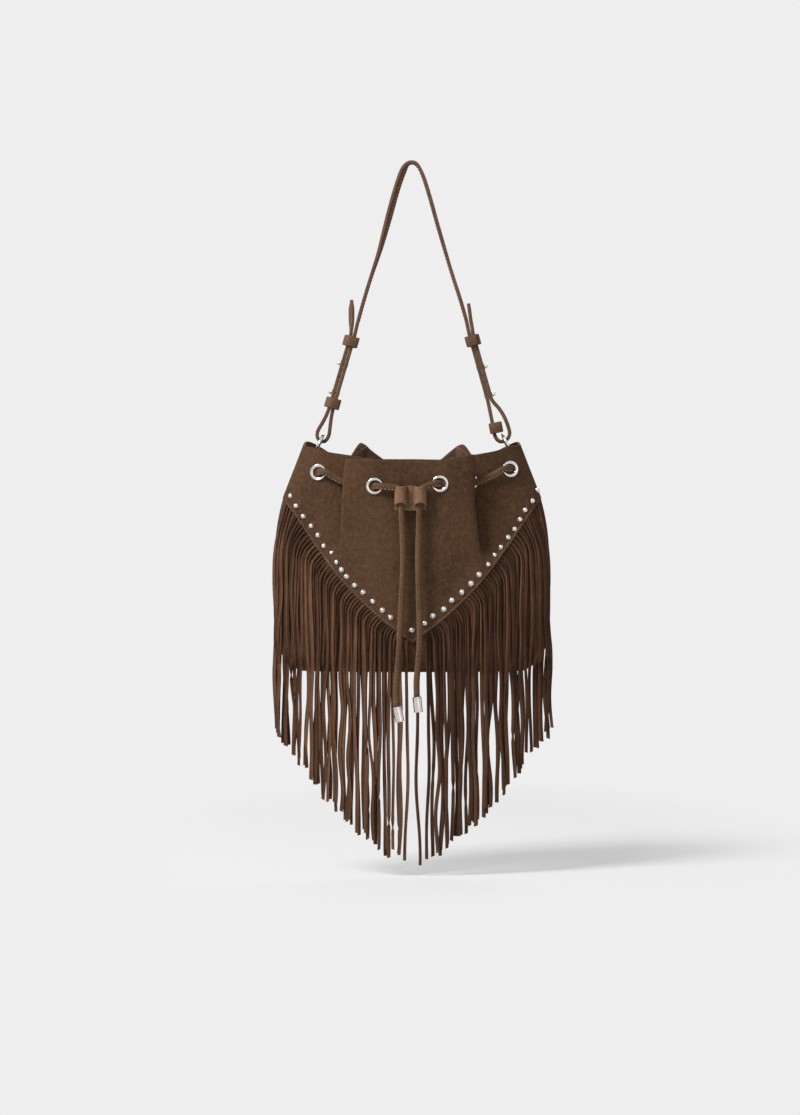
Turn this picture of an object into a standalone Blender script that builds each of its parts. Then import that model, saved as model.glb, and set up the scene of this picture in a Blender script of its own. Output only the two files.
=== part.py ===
"""A fringed suede shoulder bag with a gathered mouth, a drawcord and a short strap.

Metres, +Z up, and the front faces -Y. The origin is where the strap hangs: the underside of its top.
"""

import math

import bmesh
import bpy
from mathutils import Matrix, Quaternion, Vector

MM = 0.001
GAP = 0.3 * MM  # between pieces that touch on the real bag

# Strap
STRAP_THICK = 3.0 * MM
STRAP_WIDE = 8.6 * MM
STRAP_STEP = 6.0 * MM
# Where each doubled stretch starts, at its top keeper, its way down and its length, mm (x, z)
LEFT_PAIR = ((-53.1, -154.4), (-0.283, -0.959), 60.4)
RIGHT_PAIR = ((53.0, -153.6), (0.271, -0.9625), 52.6)
PAIR_POINTS = (-4.6, 5.0, 15.0, 25.0, 35.0, 42.0)  # mm down a doubled stretch, before its end
# The middle of the band between the doubled stretches, mm (x, z)
LEFT_TIP = ((-52.5, -118.3), (-52.6, -128.0), (-52.6, -137.0), (-52.7, -144.0))
LEFT_LOOP = (
    (-74.9, -219.6), (-78.0, -225.4), (-82.1, -232.8), (-82.1, -238.4), (-79.0, -241.3), (-75.2, -240.9),
    (-72.3, -236.0), (-71.2, -228.5), (-70.1, -220.0),
)
ARCH = (
    (-47.0, -137.0), (-42.0, -119.0), (-36.5, -100.9), (-28.2, -75.7), (-21.0, -49.5), (-14.6, -26.1),
    (-9.0, -9.0), (-4.6, -0.6), (0.0, 1.5), (4.6, -0.6), (9.2, -9.0), (14.8, -26.1),
    (22.6, -54.0), (31.3, -83.5), (36.8, -101.5), (42.3, -118.5), (47.0, -135.0),
)
RIGHT_LOOP = (
    (67.2, -211.6), (68.8, -219.5), (70.5, -228.5), (71.5, -233.5), (72.6, -237.6), (75.2, -240.8),
    (78.6, -241.6), (81.4, -240.4), (84.0, -238.0), (85.0, -233.8), (83.4, -227.4), (79.8, -219.0),
    (75.4, -212.2), (71.2, -207.6),
)
RIGHT_TIP = ((52.4, -142.6), (51.2, -136.0), (50.3, -129.0), (49.2, -121.4))

# Ball studs on the strap
STUD_TURN = math.radians(8)  # about its own axis
STUD_BALL = 2.0 * MM
STUD_NECK = 1.1 * MM
STUD_FOOT = 2.5 * MM
STUD_BACK = 2.6 * MM
STUD_REACH = 3.7 * MM
# side, which stud, its distance down the doubled stretch from the top keeper
STUD_PLACES = (
    ("left", "upper", 20.7 * MM), ("left", "lower", 46.8 * MM),
    ("right", "upper", 24.4 * MM), ("right", "lower", 49.4 * MM),
)

# Keepers
KEEPER_TALL = 9.0 * MM
KEEPER_WALL = 1.4 * MM
KEEPER_SLACK = 0.9 * MM
KEEPER_TURN = math.radians(9)
LEFT_LOWER_ALONG = 56.0 * MM  # from the left top keeper
RIGHT_LOWER_MID = (73.0 * MM, -229.4 * MM)
RIGHT_LOWER_WAY = (0.189, -0.982)

# Rings
RING_RADIUS = 9.5 * MM  # to the middle of the wire
RING_WIRE = 2.4 * MM
RING_TILT = math.radians(25)
RING_PLACES = (("left", -1, 81.0 * MM), ("right", 1, 82.6 * MM))
RING_HEIGHT = -244.2 * MM

# Tabs that hold the rings
TAB_THICK = 1.5 * MM
TAB_WIDE = 7.0 * MM
TAB_LONG = 15.0 * MM
TAB_EYE_SLACK = 1.1 * MM  # round the wire, which curves across the tab
TAB_CORNER = 1.4 * MM  # the wall's round corner comes this much nearer at the tab's edges

# Body
WALL = 2.0 * MM
BODY_BOTTOM = -441.0 * MM
# Half the width at each height, mm (z, half width)
WIDTH_PROFILE = (
    (-441.0, 97.0), (-437.0, 104.0), (-431.0, 110.5), (-420.0, 116.5), (-400.0, 119.8), (-370.0, 120.4),
    (-344.0, 119.8), (-317.5, 117.6), (-294.6, 113.0), (-278.0, 107.4), (-260.0, 100.5), (-242.0, 93.6),
)
# How far the wall stands in front of the ring line and behind it, mm (z, front, back)
DEPTH_PROFILE = (
    (-441.0, 33.0, 66.0), (-437.0, 36.5, 70.0), (-431.0, 39.5, 74.0), (-420.0, 41.0, 77.0), (-400.0, 42.0, 79.0),
    (-350.0, 43.5, 75.0), (-300.0, 46.5, 62.0), (-242.0, 49.0, 46.0),
)
MOUTH_HALF = 94.0  # mm, the widest the gathered mouth reaches
MOUTH_FRONT_DEEP = 49.0
MOUTH_BACK_DEEP = 45.6
PLEAT_LEVELS = (-385.0, -288.0)  # mm, the pleats are gone at the first height and full at the second
# The gathered mouth from the middle of the front to the side, mm (x, y, rim height left, rim height right)
FRONT_MOUTH = (
    (0.0, -49.0, -258.2, -258.2), (28.0, -48.6, -258.2, -258.4), (46.0, -47.0, -258.0, -255.8),
    (53.5, -44.8, -257.8, -254.2), (56.5, -41.0, -257.6, -254.0), (53.5, -37.4, -257.8, -254.4),
    (44.0, -35.6, -258.2, -256.0), (37.5, -33.2, -258.0, -256.8), (34.8, -29.0, -257.5, -256.8),
    (37.5, -24.8, -256.8, -256.0), (46.0, -23.2, -255.0, -254.6), (58.0, -22.4, -253.2, -252.6),
    (72.0, -19.6, -250.0, -249.2), (84.0, -14.6, -246.0, -244.8), (91.6, -7.2, -243.2, -243.0),
    (94.0, -1.6, -242.7, -242.7), (94.0, 0.0, -242.7, -242.7),
)
# The same from the side to the middle of the back
BACK_MOUTH = (
    (94.0, 0.0, -242.7, -242.7), (94.0, 1.6, -242.8, -242.8), (91.6, 7.2, -243.8, -243.8),
    (84.0, 14.8, -248.0, -248.0), (72.0, 19.4, -252.2, -252.2), (61.0, 20.6, -255.4, -255.4),
    (53.0, 20.4, -254.5, -254.5), (47.5, 20.8, -245.6, -245.6), (43.0, 22.4, -243.4, -243.4), (40.6, 26.0, -244.4, -244.4),
    (43.2, 29.6, -246.4, -246.4), (50.0, 31.0, -248.0, -248.0), (55.6, 33.6, -249.0, -249.0),
    (57.0, 37.6, -249.6, -249.6), (53.6, 41.4, -249.2, -249.2), (44.0, 43.6, -245.4, -245.4),
    (32.0, 44.8, -250.0, -250.0), (19.0, 45.4, -258.0, -258.0), (0.0, 45.6, -263.5, -263.5),
)
SEAM_STRAIGHT = 1.2 * MM  # the wall runs straight this far to each side seam
OUTLINE_WITHIN = 0.42  # mm, how near a wall's flat strips follow its outline
YOKE_ROWS = 6
LOWER_ROWS = 4
BACK_ROWS = 9

# The V edge of the yoke, mm (distance from the middle, height)
V_EDGE = (
    (0.0, -413.7), (10.0, -406.4), (26.0, -394.2), (42.0, -379.6), (56.0, -365.0), (67.0, -352.0),
    (79.0, -336.2), (90.0, -320.4), (100.0, -305.2), (111.0, -289.5), (125.0, -270.0),
)

# Base
BASE_THICK = 2.4 * MM
BASE_INSET = WALL + 0.1 * MM

# Fringe
FRINGE_LONG = 195.0 * MM
FRINGE_THICK = 2.2 * MM
FRINGE_OFF = 0.75 * MM
FRINGE_SPREAD = 1.11  # the hanging strands lie this much further out than their V edge
FRINGE_MIDDLE = 3.0 * MM
FRINGE_COLUMNS = 14
FRINGE_TURN = 24.0 * MM  # the height over which a strand turns down
FRINGE_ROWS = (0.0, 0.3, 0.62, 1.0)

# Grommets
GROMMET_WIDE = 14.4 * MM
GROMMET_HOLE = 8.6 * MM
GROMMET_SKIN = 0.7 * MM
GROMMET_PROUD = 1.7 * MM
GROMMET_FRONT_GAP = 0.8 * MM
GROMMET_BACK_GAP = 0.95 * MM
# name, which mouth outline, side, share of the way along it, height in mm
GROMMETS = (
    ("front_left", "front", -1, 0.198, -281.1), ("front_right", "front", 1, 0.146, -279.2),
    ("pleat_left", "front", -1, 0.652, -277.0), ("pleat_right", "front", 1, 0.652, -277.0),
    ("side_left", "front", -1, 0.818, -268.7), ("side_right", "front", 1, 0.846, -265.8),
    ("back_side_left", "back", -1, 0.190, -270.0), ("back_side_right", "back", 1, 0.190, -270.0),
    ("back_left", "back", -1, 0.82, -279.0), ("back_right", "back", 1, 0.82, -279.0),
)

# Drawcord
CORD_THICK = 5.0 * MM
CORD_WITHIN = 0.3 * MM
# The held part runs from the slider round each side to the middle of the back. Each place is either an
# eyelet's name, a step in share from it and how far outside the wall (mm), or a quarter of the mouth, a share
# of the way along it, a height and how far outside the wall (mm).
CORD_IN = -6.6  # mm, lying inside the wall, clear of an eyelet's back
CORD_OUT = 5.2  # mm, lying outside the wall, clear of an eyelet's front
CORD_LEFT = (
    ("front", 0.062, -286.4, 5.9), ("front", 0.070, -283.6, 5.9), ("front", 0.100, -282.2, 5.8),
    ("front", 0.140, -281.8, CORD_OUT), ("front_left", -0.030, 4.9), ("front_left", 0.0, 1.4), ("front_left", 0.0, -4.4),
    ("front", 0.208, -281.0, -8.6), ("front", 0.530, -279.6, -7.4), ("front", 0.552, -278.6, -7.0),
    ("front", 0.580, -277.6, -7.0), ("pleat_left", -0.036, CORD_IN), ("pleat_left", 0.0, -4.4),
    ("pleat_left", 0.0, 2.0), ("pleat_left", 0.036, CORD_OUT), ("front", 0.735, -273.0, 4.6),
    ("side_left", -0.036, CORD_OUT), ("side_left", 0.0, 2.0), ("side_left", 0.0, -4.4),
    ("side_left", 0.036, CORD_IN), ("front", 0.905, -269.0, -9.4), ("front", 0.980, -269.4, -11.6),
    ("back", 0.070, -269.8, -9.6), ("back_side_left", -0.036, CORD_IN), ("back_side_left", 0.0, -4.4),
    ("back_side_left", 0.0, 2.0), ("back_side_left", 0.036, CORD_OUT), ("back", 0.265, -272.0, 4.6),
    ("back", 0.580, -274.0, 5.6), ("back", 0.602, -275.0, 4.8), ("back", 0.635, -276.2, 4.2),
    ("back", 0.710, -277.8, 4.4), ("back_left", -0.036, CORD_OUT), ("back_left", 0.0, 2.0), ("back_left", 0.0, -4.4),
    ("back_left", 0.036, CORD_IN), ("back", 0.930, -279.6, -6.0), ("back", 1.0, -279.8, -5.6),
)
CORD_RIGHT = (
    ("front", 0.043, -286.4, 5.9), ("front", 0.052, -283.4, 5.9), ("front", 0.080, -281.0, 5.6),
    ("front_right", -0.030, 4.9), ("front_right", 0.0, 1.4), ("front_right", 0.0, -4.4),
    ("front", 0.150, -279.2, -9.6), ("front", 0.535, -278.8, -10.5), ("front", 0.556, -278.2, -8.0),
    ("front", 0.580, -277.6, -7.0), ("pleat_right", -0.036, CORD_IN), ("pleat_right", 0.0, -4.4),
    ("pleat_right", 0.0, 2.0), ("pleat_right", 0.036, CORD_OUT), ("front", 0.750, -271.4, 4.6),
    ("side_right", -0.036, CORD_OUT), ("side_right", 0.0, 2.0), ("side_right", 0.0, -4.4),
    ("side_right", 0.036, CORD_IN), ("front", 0.915, -266.6, -9.4), ("front", 0.980, -267.8, -11.6),
    ("back", 0.070, -269.2, -9.6), ("back_side_right", -0.036, CORD_IN), ("back_side_right", 0.0, -4.4),
    ("back_side_right", 0.0, 2.0), ("back_side_right", 0.036, CORD_OUT), ("back", 0.265, -272.0, 4.6),
    ("back", 0.580, -274.0, 5.6), ("back", 0.602, -275.0, 4.8), ("back", 0.635, -276.2, 4.2),
    ("back", 0.710, -277.8, 4.4), ("back_right", -0.036, CORD_OUT), ("back_right", 0.0, 2.0),
    ("back_right", 0.0, -4.4), ("back_right", 0.036, CORD_IN), ("back", 0.930, -279.6, -6.0),
)
# The free ends below the slider, mm (x, distance down the line they hang on)
TAIL_LEFT = (
    (-9.9, 0.5), (-9.9, 30.0), (-9.9, 70.0), (-9.9, 110.0), (-9.9, 155.0), (-11.2, 168.0), (-12.9, 177.0),
    (-11.6, 186.0),
)
TAIL_RIGHT = (
    (6.9, 0.5), (6.9, 30.0), (6.9, 70.0), (6.9, 110.0), (6.9, 155.0), (5.6, 164.0), (4.4, 171.0), (4.4, 178.0),
)

# Slider
SLIDER_X = -1.5 * MM
SLIDER_HEIGHT = -290.0 * MM
SLIDER_OFF = 5.9 * MM  # in front of the wall
HANG_CLEAR = 3.4 * MM  # between the free ends and the fringe
SLIDER_TUNNELS = 16.8 * MM  # between the two tunnels
SLIDER_TUBE = 9.2 * MM
SLIDER_BORE = 6.3 * MM
SLIDER_UP = 8.8 * MM
SLIDER_DOWN = 7.0 * MM
SLIDER_FLAP = 11.4 * MM
SLIDER_SHEET = 1.5 * MM
SLIDER_NOTCH = 5.4 * MM  # how far above the middle the side notches start downwards

# Ferrules
FERRULE_WIDE = 7.6 * MM
FERRULE_LONG = 12.4 * MM
FERRULE_WALL = 0.9 * MM
FERRULE_FLOOR = 1.4 * MM

SUEDE = (0.105, 0.052, 0.032)
SUEDE_LIGHT = (0.150, 0.083, 0.054)
SILVER = (0.62, 0.61, 0.58)


def smooth(values, x, column=1):
    """A smooth reading of a table of rows (x, value, ...) at x, held at its ends."""
    rows = sorted(values)
    if x <= rows[0][0]:
        return rows[0][column]
    if x >= rows[-1][0]:
        return rows[-1][column]
    i = max(k for k in range(len(rows) - 1) if rows[k][0] <= x)
    slope = []
    for k in (i, i + 1):
        low, high = rows[max(k - 1, 0)], rows[min(k + 1, len(rows) - 1)]
        slope.append((high[column] - low[column]) / (high[0] - low[0]))
    wide = rows[i + 1][0] - rows[i][0]
    t = (x - rows[i][0]) / wide
    a, b = rows[i][column], rows[i + 1][column]
    return (
        a * (1 + 2 * t) * (1 - t) ** 2
        + slope[0] * wide * t * (1 - t) ** 2
        + b * t * t * (3 - 2 * t)
        - slope[1] * wide * t * t * (1 - t)
    )


def curve_through(points, per=12):
    """A smooth curve through the points, as a dense list."""
    ends = [points[0] * 2 - points[1], *points, points[-1] * 2 - points[-2]]
    dense = []
    for a, b, c, d in zip(ends, ends[1:], ends[2:], ends[3:]):
        for k in range(per):
            t = k / per
            dense.append(
                0.5 * (2 * b + (c - a) * t + (2 * a - 5 * b + 4 * c - d) * t * t + (3 * b - a - 3 * c + d) * t**3)
            )
    return dense + [points[-1].copy()]


def along(dense):
    """The distance from the start to each point."""
    total = [0.0]
    for a, b in zip(dense, dense[1:]):
        total.append(total[-1] + (b - a).length)
    return total


def read_at(dense, far, at):
    """The point of a dense curve at a distance from its start."""
    for k in range(len(far) - 1):
        if at <= far[k + 1]:
            span = far[k + 1] - far[k]
            return dense[k].lerp(dense[k + 1], (at - far[k]) / span if span else 0.0)
    return dense[-1].copy()


def spaced(points, step):
    """Points about one step apart on the smooth curve through the given ones."""
    dense = curve_through(points)
    far = along(dense)
    count = max(2, round(far[-1] / step))
    return [read_at(dense, far, far[-1] * k / count) for k in range(count + 1)]


def thinned(points, within):
    """The points without those within that distance of the line between their neighbours."""
    if len(points) < 3:
        return points
    a, b = points[0], points[-1]
    way = b - a
    worst, place = -1.0, 0
    for k, p in enumerate(points[1:-1], 1):
        t = max(0.0, min(1.0, (p - a).dot(way) / max(way.dot(way), 1e-12)))
        off = (p - a - way * t).length
        if off > worst:
            worst, place = off, k
    if worst <= within:
        return [a, b]
    return thinned(points[: place + 1], within)[:-1] + thinned(points[place:], within)


def clear_scene():
    for obj in list(bpy.data.objects):
        bpy.data.objects.remove(obj, do_unlink=True)


def make_collection(name):
    made = bpy.data.collections.new(name)
    bpy.context.scene.collection.children.link(made)
    return made


def paint(name, colour, rough, metal):
    made = bpy.data.materials.new(name)
    made.use_nodes = True
    shader = made.node_tree.nodes["Principled BSDF"]
    shader.inputs["Base Color"].default_value = (*colour, 1.0)
    shader.inputs["Roughness"].default_value = rough
    shader.inputs["Metallic"].default_value = metal
    made.diffuse_color = (*colour, 1.0)
    return made


def add(name, data, finish, parts):
    """A named object with its own material."""
    made = bpy.data.objects.new(name, data)
    parts.objects.link(made)
    if finish:
        data.materials.append(paint(name, *finish))
    return made


def mesh_of(name, verts, faces=(), edges=()):
    mesh = bpy.data.meshes.new(name)
    mesh.from_pydata([tuple(v) for v in verts], edges, faces)
    mesh.update()
    return mesh


def strip(name, route, wide, thick, finish, parts):
    """A band whose middle follows a route in X and Z, lying flat along Y."""
    verts = [Vector((p.x, side * wide / 2, p.z)) for p in route for side in (-1, 1)]
    faces = [(2 * k, 2 * k + 1, 2 * k + 3, 2 * k + 2) for k in range(len(route) - 1)]
    band = add(name, mesh_of(name, verts, faces), finish, parts)
    wall = band.modifiers.new("thickness", "SOLIDIFY")
    wall.thickness = thick
    wall.offset = 0
    wall.use_even_offset = True
    return band


def tube(name, points, thick, finish, parts, sides=2):
    """A cord along a list of points."""
    data = bpy.data.curves.new(name, "CURVE")
    data.dimensions = "3D"
    data.bevel_depth = thick / 2
    data.bevel_resolution = sides
    data.use_fill_caps = True
    line = data.splines.new("POLY")
    line.points.add(len(points) - 1)
    for point, place in zip(line.points, points):
        point.co = (*place, 1.0)
    return add(name, data, finish, parts)


def turned(name, profile, steps, finish, parts):
    """A turned shape about Z, from its profile (radius, height) down its outer side."""
    verts = [(r, 0.0, z) for r, z in profile]
    closed = profile[0][0] > 0 and profile[-1][0] > 0
    edges = [(k, k + 1) for k in range(len(profile) - 1)]
    if closed:
        edges.append((len(profile) - 1, 0))
    made = add(name, mesh_of(name, verts, edges=edges), finish, parts)
    spin = made.modifiers.new("turn", "SCREW")
    spin.steps = steps
    spin.render_steps = steps
    spin.use_merge_vertices = True
    spin.merge_threshold = 0.00001
    return made


def stand(obj, place, way, turn=0.0):
    """Puts an object at a place with its Z along a direction, turned about it."""
    obj.rotation_mode = "QUATERNION"
    obj.rotation_quaternion = Vector(way).to_track_quat("Z", "Y") @ Quaternion((0.0, 0.0, 1.0), turn)
    obj.location = place


def cutter(name, shape, cutters):
    """A primitive used by a Boolean, out of the render."""
    mesh = bpy.data.meshes.new(name)
    kit = bmesh.new()
    if "radius" in shape:
        bmesh.ops.create_cone(
            kit, cap_ends=True, segments=shape.get("segments", 20),
            radius1=shape["radius"], radius2=shape["radius"], depth=shape["deep"],
        )
    else:
        bmesh.ops.create_cube(kit, size=1.0, matrix=Matrix.Diagonal((*shape["size"], 1.0)))
    kit.to_mesh(mesh)
    kit.free()
    made = bpy.data.objects.new(name, mesh)
    cutters.objects.link(made)
    made.hide_render = True
    made.display_type = "WIRE"
    return made


def boolean(obj, other, operation="DIFFERENCE"):
    step = obj.modifiers.new(other.name, "BOOLEAN")
    step.object = other
    step.operation = operation
    step.solver = "EXACT"


class Wall:
    """The bag's outer surface: an oval body that gathers into pleats at the mouth."""

    def __init__(self):
        self.outlines = {"front": self.read(FRONT_MOUTH), "back": self.read(BACK_MOUTH)}

    def read(self, rows):
        """Dense points and their distances of one quarter of the mouth, with rim heights."""
        dense = curve_through([Vector((x, y, 0.0)) for x, y, _, _ in rows])
        rims = {
            side: curve_through([Vector((rim, 0.0, 0.0)) for rim in heights])
            for side, heights in ((-1, [r[2] for r in rows]), (1, [r[3] for r in rows]))
        }
        return dense, along(dense), rims

    def shares(self, quarter):
        """The shares of the way along a quarter where its flat strips meet."""
        dense, far, _ = self.outlines[quarter]
        kept = thinned(dense, OUTLINE_WITHIN)
        shares = []
        for p in kept:
            k = min(range(len(dense)), key=lambda i: (dense[i] - p).length)
            shares.append(far[k] / far[-1])
        full = [shares[0]]
        for s in shares[1:]:
            parts = max(1, math.ceil((s - full[-1]) / 0.09))
            full += [full[-1] + (s - full[-1]) * (k + 1) / parts for k in range(parts)]
        return full

    def rim(self, quarter, side, share):
        """The height of the mouth's edge."""
        dense, far, rims = self.outlines[quarter]
        return self.by_share(rims[side], far, share).x * MM

    @staticmethod
    def by_share(values, far, share):
        return read_at(values, far, share * far[-1])

    @staticmethod
    def oval(quarter, share):
        """Sine and cosine of the oval's angle at a share of a quarter's length."""
        start = 0.0 if quarter == "front" else math.pi / 2
        turn = (share - 0.15 * math.sin(2 * math.pi * share) / math.pi) * math.pi / 2
        if quarter == "back":
            turn = math.pi / 2 - (1 - share - 0.15 * math.sin(2 * math.pi * (1 - share)) / math.pi) * math.pi / 2
        return math.sin(start + turn), math.cos(start + turn)

    def point(self, quarter, side, share, z):
        """The point of the outer surface at a height in metres."""
        level = z / MM
        low, high = PLEAT_LEVELS
        t = max(0.0, min(1.0, (level - low) / (high - low)))
        pleat = t * t * (3 - 2 * t)
        half = smooth(WIDTH_PROFILE, level)
        front = quarter == "front"
        deep = smooth(DEPTH_PROFILE, level, 1 if front else 2)
        dense, far, _ = self.outlines[quarter]
        mouth = self.by_share(dense, far, share)
        sine, cosine = self.oval(quarter, share)
        spread = mouth.x + (half - MOUTH_HALF) * (mouth.x / MOUTH_HALF) ** 2
        folded = mouth.y * deep / (MOUTH_FRONT_DEEP if front else MOUTH_BACK_DEEP)
        x = (1 - pleat) * half * sine + pleat * spread
        y = -(1 - pleat) * deep * cosine + pleat * folded
        return Vector((side * x * MM, y * MM, z))

    def seam(self, side, share):
        """The height of the V edge at a share of the front."""
        z = -350 * MM
        for _ in range(24):
            x = abs(self.point("front", side, share, z).x)
            z += 0.6 * (smooth(V_EDGE, x / MM) * MM - z)
        return z

    def frame(self, quarter, side, share, z):
        """A point of the surface and the way out of it."""
        step = 0.004
        here = self.point(quarter, side, share, z)
        ahead = self.point(quarter, side, min(1.0, share + step), z) - self.point(
            quarter, side, max(0.0, share - step), z
        )
        up = self.point(quarter, side, share, z + MM) - self.point(quarter, side, share, z - MM)
        return here, ahead.cross(up).normalized() * side


def panel(name, wall, columns, low, high, rows, finish, parts):
    """A closed panel of the wall between two heights on each column."""
    verts, faces = [], []
    for quarter, side, share in columns:
        bottom, top = low(quarter, side, share), high(quarter, side, share)
        for k in range(rows + 1):
            verts.append(wall.point(quarter, side, share, bottom + (top - bottom) * k / rows))
    for c in range(len(columns) - 1):
        for k in range(rows):
            a = c * (rows + 1) + k
            faces.append((a, a + rows + 1, a + rows + 2, a + 1))
    made = add(name, mesh_of(name, verts, faces), finish, parts)
    thick = made.modifiers.new("thickness", "SOLIDIFY")
    thick.thickness = WALL
    thick.offset = -1
    return made


def make_columns(wall, quarter):
    """The columns of the front, left to right as seen from the front, or of the back, right to left."""
    shares = wall.shares(quarter)
    length = wall.outlines[quarter][1][-1] * MM
    trim, straight = GAP / 2 / length, SEAM_STRAIGHT / length
    if quarter == "front":
        shares = [s for s in shares if s < 1 - 1.5 * straight] + [1 - straight, 1 - trim]
        return [(quarter, -1, s) for s in reversed(shares)] + [(quarter, 1, s) for s in shares[1:]]
    shares = [trim, straight] + [s for s in shares if s > 1.5 * straight]
    return [(quarter, 1, s) for s in shares] + [(quarter, -1, s) for s in reversed(shares[:-1])]


def make_body(wall, parts):
    """Yoke, lower front, back and base."""
    front, back = make_columns(wall, "front"), make_columns(wall, "back")
    floor = BODY_BOTTOM + GAP

    def seam_above(_, side, share):
        return wall.seam(side, share) + GAP / 2

    def seam_below(_, side, share):
        return wall.seam(side, share) - GAP / 2

    finish = (SUEDE, 0.95, 0.0)
    yoke = panel("front_yoke", wall, front, seam_above, wall.rim, YOKE_ROWS, finish, parts)
    panel("front_lower", wall, front, lambda *_: floor, seam_below, LOWER_ROWS, finish, parts)
    rear = panel("back_panel", wall, back, lambda *_: floor, wall.rim, BACK_ROWS, finish, parts)
    outline = [wall.point(q, s, f, BODY_BOTTOM) for q, s, f in front[:-1] + back[:-1]]
    inset = []
    for k, p in enumerate(outline):
        ahead = (outline[(k + 1) % len(outline)] - outline[k - 1]).normalized()
        inset.append(p + Vector((-ahead.y, ahead.x, 0.0)) * BASE_INSET)
    curve = bpy.data.curves.new("base_panel", "CURVE")
    curve.dimensions = "2D"
    curve.fill_mode = "BOTH"
    curve.extrude = BASE_THICK / 2
    line = curve.splines.new("POLY")
    line.points.add(len(inset) - 1)
    for point, place in zip(line.points, inset):
        point.co = (place.x, place.y, 0.0, 1.0)
    line.use_cyclic_u = True
    base = add("base_panel", curve, finish, parts)
    base.location = (0.0, 0.0, BODY_BOTTOM + BASE_THICK / 2)
    return yoke, rear


def make_grommets(wall, yoke, rear, parts, cutters):
    """Rolled metal eyelets through the wall."""
    outer, hole = GROMMET_WIDE / 2, GROMMET_HOLE / 2
    barrel = hole + GROMMET_SKIN
    top = GROMMET_PROUD
    under = -WALL - GROMMET_BACK_GAP
    profile = (
        (hole + 0.3 * MM, top), (outer - 1.6 * MM, top), (outer - 0.4 * MM, top - 0.35 * MM), (outer, GROMMET_FRONT_GAP),
        (barrel, GROMMET_FRONT_GAP), (barrel, under), (outer, under), (outer, under - GROMMET_SKIN),
        (hole, under - GROMMET_SKIN), (hole, top - 0.4 * MM),
    )
    for name, quarter, side, share, height in GROMMETS:
        place, out = wall.frame(quarter, side, share, height * MM)
        eyelet = turned(f"grommet_{name}", profile, 16, (SILVER, 0.25, 1.0), parts)
        stand(eyelet, place, out)
        cut = cutter(f"hole_{name}", {"radius": barrel + GAP, "deep": 4 * WALL}, cutters)
        stand(cut, place - out * WALL / 2, out)
        boolean(yoke if quarter == "front" else rear, cut)


def make_fringe(wall, parts):
    """Two hanging curtains under the V edge; their strands are cut in the looks."""
    front = smooth(DEPTH_PROFILE, -350.0) * MM
    half = smooth(WIDTH_PROFILE, -370.0) * MM
    out = FRINGE_OFF + FRINGE_THICK
    for name, side in (("left", -1), ("right", 1)):
        verts, faces = [], []
        levels = len(FRINGE_ROWS) + 1
        for c in range(FRINGE_COLUMNS + 1):
            x = FRINGE_MIDDLE + (110.5 * MM - FRINGE_MIDDLE) * c / FRINGE_COLUMNS
            top = smooth(V_EDGE, x / MM) * MM - GAP
            surface = front * math.sqrt(max(0.0, 1 - (x / half) ** 2)) + FRINGE_OFF
            hang = x * FRINGE_SPREAD
            for share in FRINGE_ROWS:
                bend = math.sin(share * math.pi / 2)
                verts.append((side * (x + (hang - x) * bend), -surface, top - FRINGE_TURN * share))
            verts.append((side * hang, -surface, top - FRINGE_LONG))
        for c in range(FRINGE_COLUMNS):
            for k in range(levels - 1):
                a = c * levels + k
                quad = (a, a + 1, a + levels + 1, a + levels)
                faces.append(quad if side > 0 else quad[::-1])
        made = add(f"fringe_{name}", mesh_of(f"fringe_{name}", verts, faces), (SUEDE, 0.95, 0.0), parts)
        thick = made.modifiers.new("thickness", "SOLIDIFY")
        thick.thickness = out - FRINGE_OFF
        thick.offset = 1


def pair_line(pair, outward):
    """The start, the way down and the way out of a doubled stretch."""
    (x, z), (wx, wz), _ = pair
    way = Vector((wx, 0.0, wz)).normalized()
    return Vector((x * MM, 0.0, z * MM)), way, Vector((-way.z, 0.0, way.x)) * outward


def strap_route():
    """The middle of the band from its left tip to its right tip."""
    def listed(points):
        return [Vector((x * MM, 0.0, z * MM)) for x, z in points]

    def layer(pair, outward, hand):
        start, way, out = pair_line(pair, outward)
        shift = out * hand * (STRAP_THICK + GAP) / 2
        places = [*PAIR_POINTS, pair[2] - 5.0, pair[2]]
        return [start + way * far * MM + shift for far in places]

    return (
        listed(LEFT_TIP) + layer(LEFT_PAIR, -1, 1) + listed(LEFT_LOOP) + layer(LEFT_PAIR, -1, -1)[::-1]
        + listed(ARCH) + layer(RIGHT_PAIR, 1, -1) + listed(RIGHT_LOOP) + layer(RIGHT_PAIR, 1, 1)[::-1]
        + listed(RIGHT_TIP)
    )


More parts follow.
